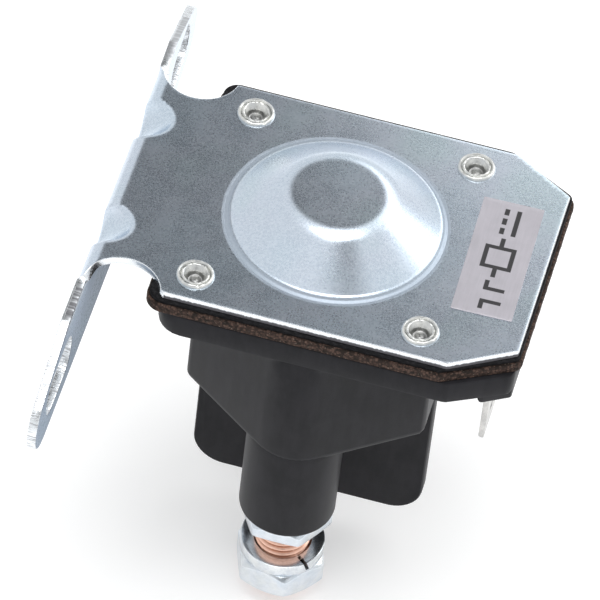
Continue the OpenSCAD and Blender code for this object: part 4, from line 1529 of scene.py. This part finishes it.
@dataclass(frozen=True)
class Spring:
    """Round wire wound on a helix.

    Attributes:
        r, wire: radius of the helix and of the wire.
        foot, top: plate heights of its ends.
        anchor: plate height of the end that stays; not used.
        keep: share of its length left at the joint's limit; not used.
        per_turn: steps of the helix for each turn.
    """

    name: str
    node: str
    body: str
    joint: str
    r: float
    foot: float
    top: float
    turns: int
    anchor: float
    keep: float
    wire: float = 0.25
    per_turn: int = 40

    def build(self, finish: Material) -> None:
        """Makes the spring: a circle of wire at each step of a helix that rises evenly.

        Args:
            finish: its material.
        """
        t = np.linspace(0, 1, self.turns * self.per_turn + 1)[:, None]
        middle = self.foot + self.wire + (self.top - self.foot - 2 * self.wire) * t
        k = steps(12)
        radius, height = self.r + self.wire * np.cos(k), middle + self.wire * np.sin(k)
        shell = Shell().surface(around(COIL_AXIS, radius, TAU * self.turns * t, height), caps=True)
        obj = shell.piece(self.name, self.node, finish, "spring_steel", 60, self.body)
        self.joint
        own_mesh(obj)


@dataclass
class Inside:
    """Springs and finishes of the pieces inside the housing."""

    springs: tuple[Spring, ...] = (
        Spring("return_coil_spring", "return_spring", "case", "plunger_slide",
               3.35, -25.95, -21.3, 3, -25.95, 0.441),
        Spring("contact_coil_spring", "contact_spring", "plunger_group", "contact_bar_slide",
               2.6, -18.6, -16.0, 2, -16.0, 0.77),
    )

    def plan(self) -> dict[Plated | Plain, tuple[str, ...]]:
        """Finishes of the carried-over CAD nodes.

        Returns:
            The nodes' names for each finish.
        """
        return {
            Plated("coil_steel", (0.62, 0.63, 0.65), (0.42, 0.43, 0.45), 0.3):
                ("coil_frame", "pole_core", "plunger"),
            Plain("bobbin_nylon", (0.7, 0.64, 0.5), (0.78, 0.72, 0.58), 0.45): ("coil_bobbin",),
            Plain("enamelled_wire", (0.55, 0.2, 0.07), (0.75, 0.33, 0.13), 0.28, 0.8, 0.3, (0.05, 0.05, 2)):
                ("coil_winding", "front_coil_lead", "rear_coil_lead"),
            Plain("coil_tape", (0.5, 0.38, 0.12), (0.62, 0.48, 0.18), 0.4, 0.0, 1.2): ("winding_tape",),
            Plated("stem_brass", (0.87, 0.68, 0.34), (0.66, 0.49, 0.22), 0.26): ("plunger_stem",),
            Plain("red_fibre", (0.2, 0.06, 0.03), (0.3, 0.1, 0.05), 0.6):
                ("bar_bush", "bar_washer", "cushion_washer"),
            Plain("bar_copper", (0.8, 0.42, 0.28), (0.9, 0.55, 0.4), 0.3, 1.0, 0.5, (1, 0.2, 1)):
                ("contact_bar",),
            Plated("clip_steel", (0.55, 0.56, 0.58), (0.36, 0.37, 0.39), 0.3): ("stem_clip",),
        }

    def build(self) -> None:
        """Makes the springs and gives every carried-over CAD node its finish."""
        wire = Plated("spring_wire", (0.7, 0.71, 0.73), (0.5, 0.51, 0.53), 0.22).make()
        for spring in self.springs:
            spring.build(wire)
        for finish, names in self.plan().items():
            material = finish.make()
            for name in names:
                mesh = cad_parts[name].data
                mesh.materials.clear()
                mesh.materials.append(material)
                log.info("%s dressed with %s", name, material.name)


@dataclass
class Studio:
    """Pale floor, soft lamps, plain world and the camera of the photograph.

    Attributes:
        eye, right, down: the camera's place and two of its directions.
        focal: focal length in pixels of a frame that is frame_px wide.
        patches: direction, inner and outer angle, and strength of the world's dimmer patches.
    """

    eye: Vector = (142.19, -689.62, 753.91)
    right: Vector = (0.96390, 0.25267, 0.08405)
    down: Vector = (0.24228, -0.70125, -0.67049)
    focal: float = 7353.2
    frame_px: float = 600.0
    sensor: float = 36.0
    pale: float = 0.93
    glow: float = 0.33
    patches: tuple[tuple[Vector, float, float, float], ...] = (
        ((-0.12, 0.64, 0.76), 11, 19, 0.04),
        ((0.3, -0.36, 0.88), 7, 13, 0.1),
        ((0.14, -0.69, 0.754), 8, 20, 0.35),
    )

    def put(self, name: str, data: bpy.types.ID, axes: Sequence[Array], place: Array) -> bpy.types.Object:
        """Puts a camera or a lamp into the scene.

        Args:
            name: name of the object.
            data: the camera or lamp.
            axes: its own three axes.
            place: where it stands, in metres.
        Returns:
            The object.
        """
        matrix = np.eye(4)
        matrix[:3, :3] = np.stack(axes, 1)
        matrix[:3, 3] = place
        obj = bpy.data.objects.new(name, data)
        obj.matrix_world = Matrix(matrix.tolist())
        bpy.context.scene.collection.objects.link(obj)
        return obj

    def camera(self) -> None:
        """Camera at the photograph's place and angle."""
        lens = bpy.data.cameras.new("photo_camera")
        lens.sensor_fit = "HORIZONTAL"
        lens.sensor_width = self.sensor
        lens.lens = self.focal * self.sensor / self.frame_px
        lens.clip_start, lens.clip_end = 0.05, 20
        y = -np.array(self.down)
        z = np.cross(self.right, y)
        axes = [axis / np.linalg.norm(axis) for axis in (np.cross(y, z), y, z)]
        bpy.context.scene.camera = self.put("photo_camera", lens, axes, np.array(self.eye) * MM)

    def floor(self) -> None:
        """Large pale floor under the lowest point, lifted to white for the eye and for reflections."""
        low, ends = CAD_BOX[0].z - 0.00002, np.linspace(-4.0, 4.0, 5)
        grid = np.stack(np.meshgrid(ends, ends, [low], indexing="ij"), -1).reshape(-1, 3)
        index = np.arange(25).reshape(5, 5)
        faces = np.stack([index[:-1, :-1], index[1:, :-1], index[1:, 1:], index[:-1, 1:]], -1).reshape(-1, 4)
        mesh = bpy.data.meshes.new("studio_floor")
        mesh.from_pydata(grid.tolist(), [], faces.tolist())
        b = Brush("pale_floor")
        mesh.materials.append(b.finish(Base_Color=(0.82, 0.82, 0.82), Roughness=0.9, Specular_IOR_Level=0.0))
        path = b.node("ShaderNodeLightPath").outputs
        eye, mirror, glass = (Tone(b, path[f"Is {ray} Ray"]) for ray in ("Camera", "Glossy", "Transmission"))
        seen = eye.either(mirror).either(glass)
        glow = b.node("ShaderNodeEmission", {}, {0: (1, 1, 1, 1), 1: seen * self.glow})
        both = b.node("ShaderNodeAddShader", {}, {0: b.shader.outputs[0], 1: glow.outputs[0]})
        b.feed(b.out.inputs[0], both.outputs[0])
        obj = bpy.data.objects.new("studio_floor", mesh)
        bpy.context.scene.collection.objects.link(obj)

    def lamp(self, name: str, azimuth: float, elevation: float, distance: float, size: Spot,
             power: float) -> None:
        """Soft rectangular lamp that looks at the part's middle.

        Args:
            name: its name.
            azimuth, elevation: direction from the part, in degrees; azimuth 0 is in front, at -Y.
            distance: metres from the part.
            size: its width and height in metres.
            power: watts.
        """
        light = bpy.data.lights.new(name, "AREA")
        light.shape = "RECTANGLE"
        light.size, light.size_y = size
        light.energy = power
        a, e = math.radians(azimuth), math.radians(elevation)
        back = np.array([math.sin(a) * math.cos(e), -math.cos(a) * math.cos(e), math.sin(e)])
        side = np.cross([0, 0, 1.0], back)
        side /= np.linalg.norm(side)
        self.put(name, light, (side, np.cross(back, side), back), np.array([0.03, 0, 0]) + back * distance)

    def world(self) -> None:
        """Pale all round with a few dimmer patches, as between studio lamps, for bright metal to mirror."""
        world = bpy.data.worlds.new("studio_world")
        world.use_nodes = True
        graph = Graph(world.node_tree)
        way = graph.node("ShaderNodeTexCoord").outputs["Generated"]
        level: Tone | float = self.pale
        for centre, inner, outer, dim in self.patches:
            aim = tuple(c / math.sqrt(sum(k * k for k in centre)) for c in centre)
            dot = graph.node("ShaderNodeVectorMath", {"operation": "DOT_PRODUCT"}, {0: way, 1: aim})
            edge, full = (math.cos(math.radians(angle)) for angle in (outer, inner))
            level = graph.blend(Tone(graph, dot.outputs["Value"]).band(edge, full), level, dim)
        back = graph.node("ShaderNodeBackground", {}, {"Color": (0.985, 0.995, 1.0, 1), "Strength": level})
        graph.node("ShaderNodeOutputWorld", {}, {0: back.outputs[0]})
        bpy.context.scene.world = world

    def build(self) -> None:
        """Sets up everything around the part."""
        self.camera()
        self.floor()
        self.world()
        self.lamp("overhead_softbox", 45, 86, 0.75, (0.44, 0.4), 1.75)
        self.lamp("back_softbox", 150, 42, 0.45, (0.24, 0.24), 0.2)
        self.lamp("corner_softbox", 176.4, 36.7, 0.251, (0.06, 0.06), 0.02)
        self.lamp("right_softbox", 128, 30, 0.8, (0.36, 0.36), 0.8)
        bpy.context.scene.view_settings.view_transform = "Standard"


def main() -> None:
    """Builds every sub-assembly in order."""
    logging.basicConfig(level=logging.INFO, format="%(name)s: %(message)s")
    Studio().build()
    Bracket().build()
    Rivets().build()
    RatingFoil().build()
    rubber = Gasket("rubber_sheet", "rubber_gasket", "black_rubber", Z_RUBBER, Z_CORK, 0.4, 17.2, 0.02)
    cork = Gasket("cork_sheet", "cork_gasket", "cork_rubber", Z_CORK, Z_CASE, 0.0, 15.0, 0.06)
    rubber.build(Rubber().make())
    cork.build(Cork().make())
    Housing().build()
    hardware = Plated("bright_zinc", (0.74, 0.78, 0.82), (0.62, 0.67, 0.72), 0.15, 0.1).make()
    spring = Plated("washer_zinc", (0.8, 0.83, 0.85), (0.6, 0.64, 0.68), 0.15, 0.08).make()
    base = Shell()
    for terminal in (Terminal(Side.FRONT, 0, -11, -40), Terminal(Side.REAR, 11, 24, 70)):
        terminal.build(hardware, spring, base)
    base.piece("base_hexagon_nuts", "base_nuts", hardware, "nut_steel", 30)
    tin = Plated("tinned_tab", (0.66, 0.65, 0.63), (0.45, 0.445, 0.44), 0.26).make()
    for side in Side:
        Blade(side).build(tin)
    Inside().build()


if __name__ == "__main__":
    main()
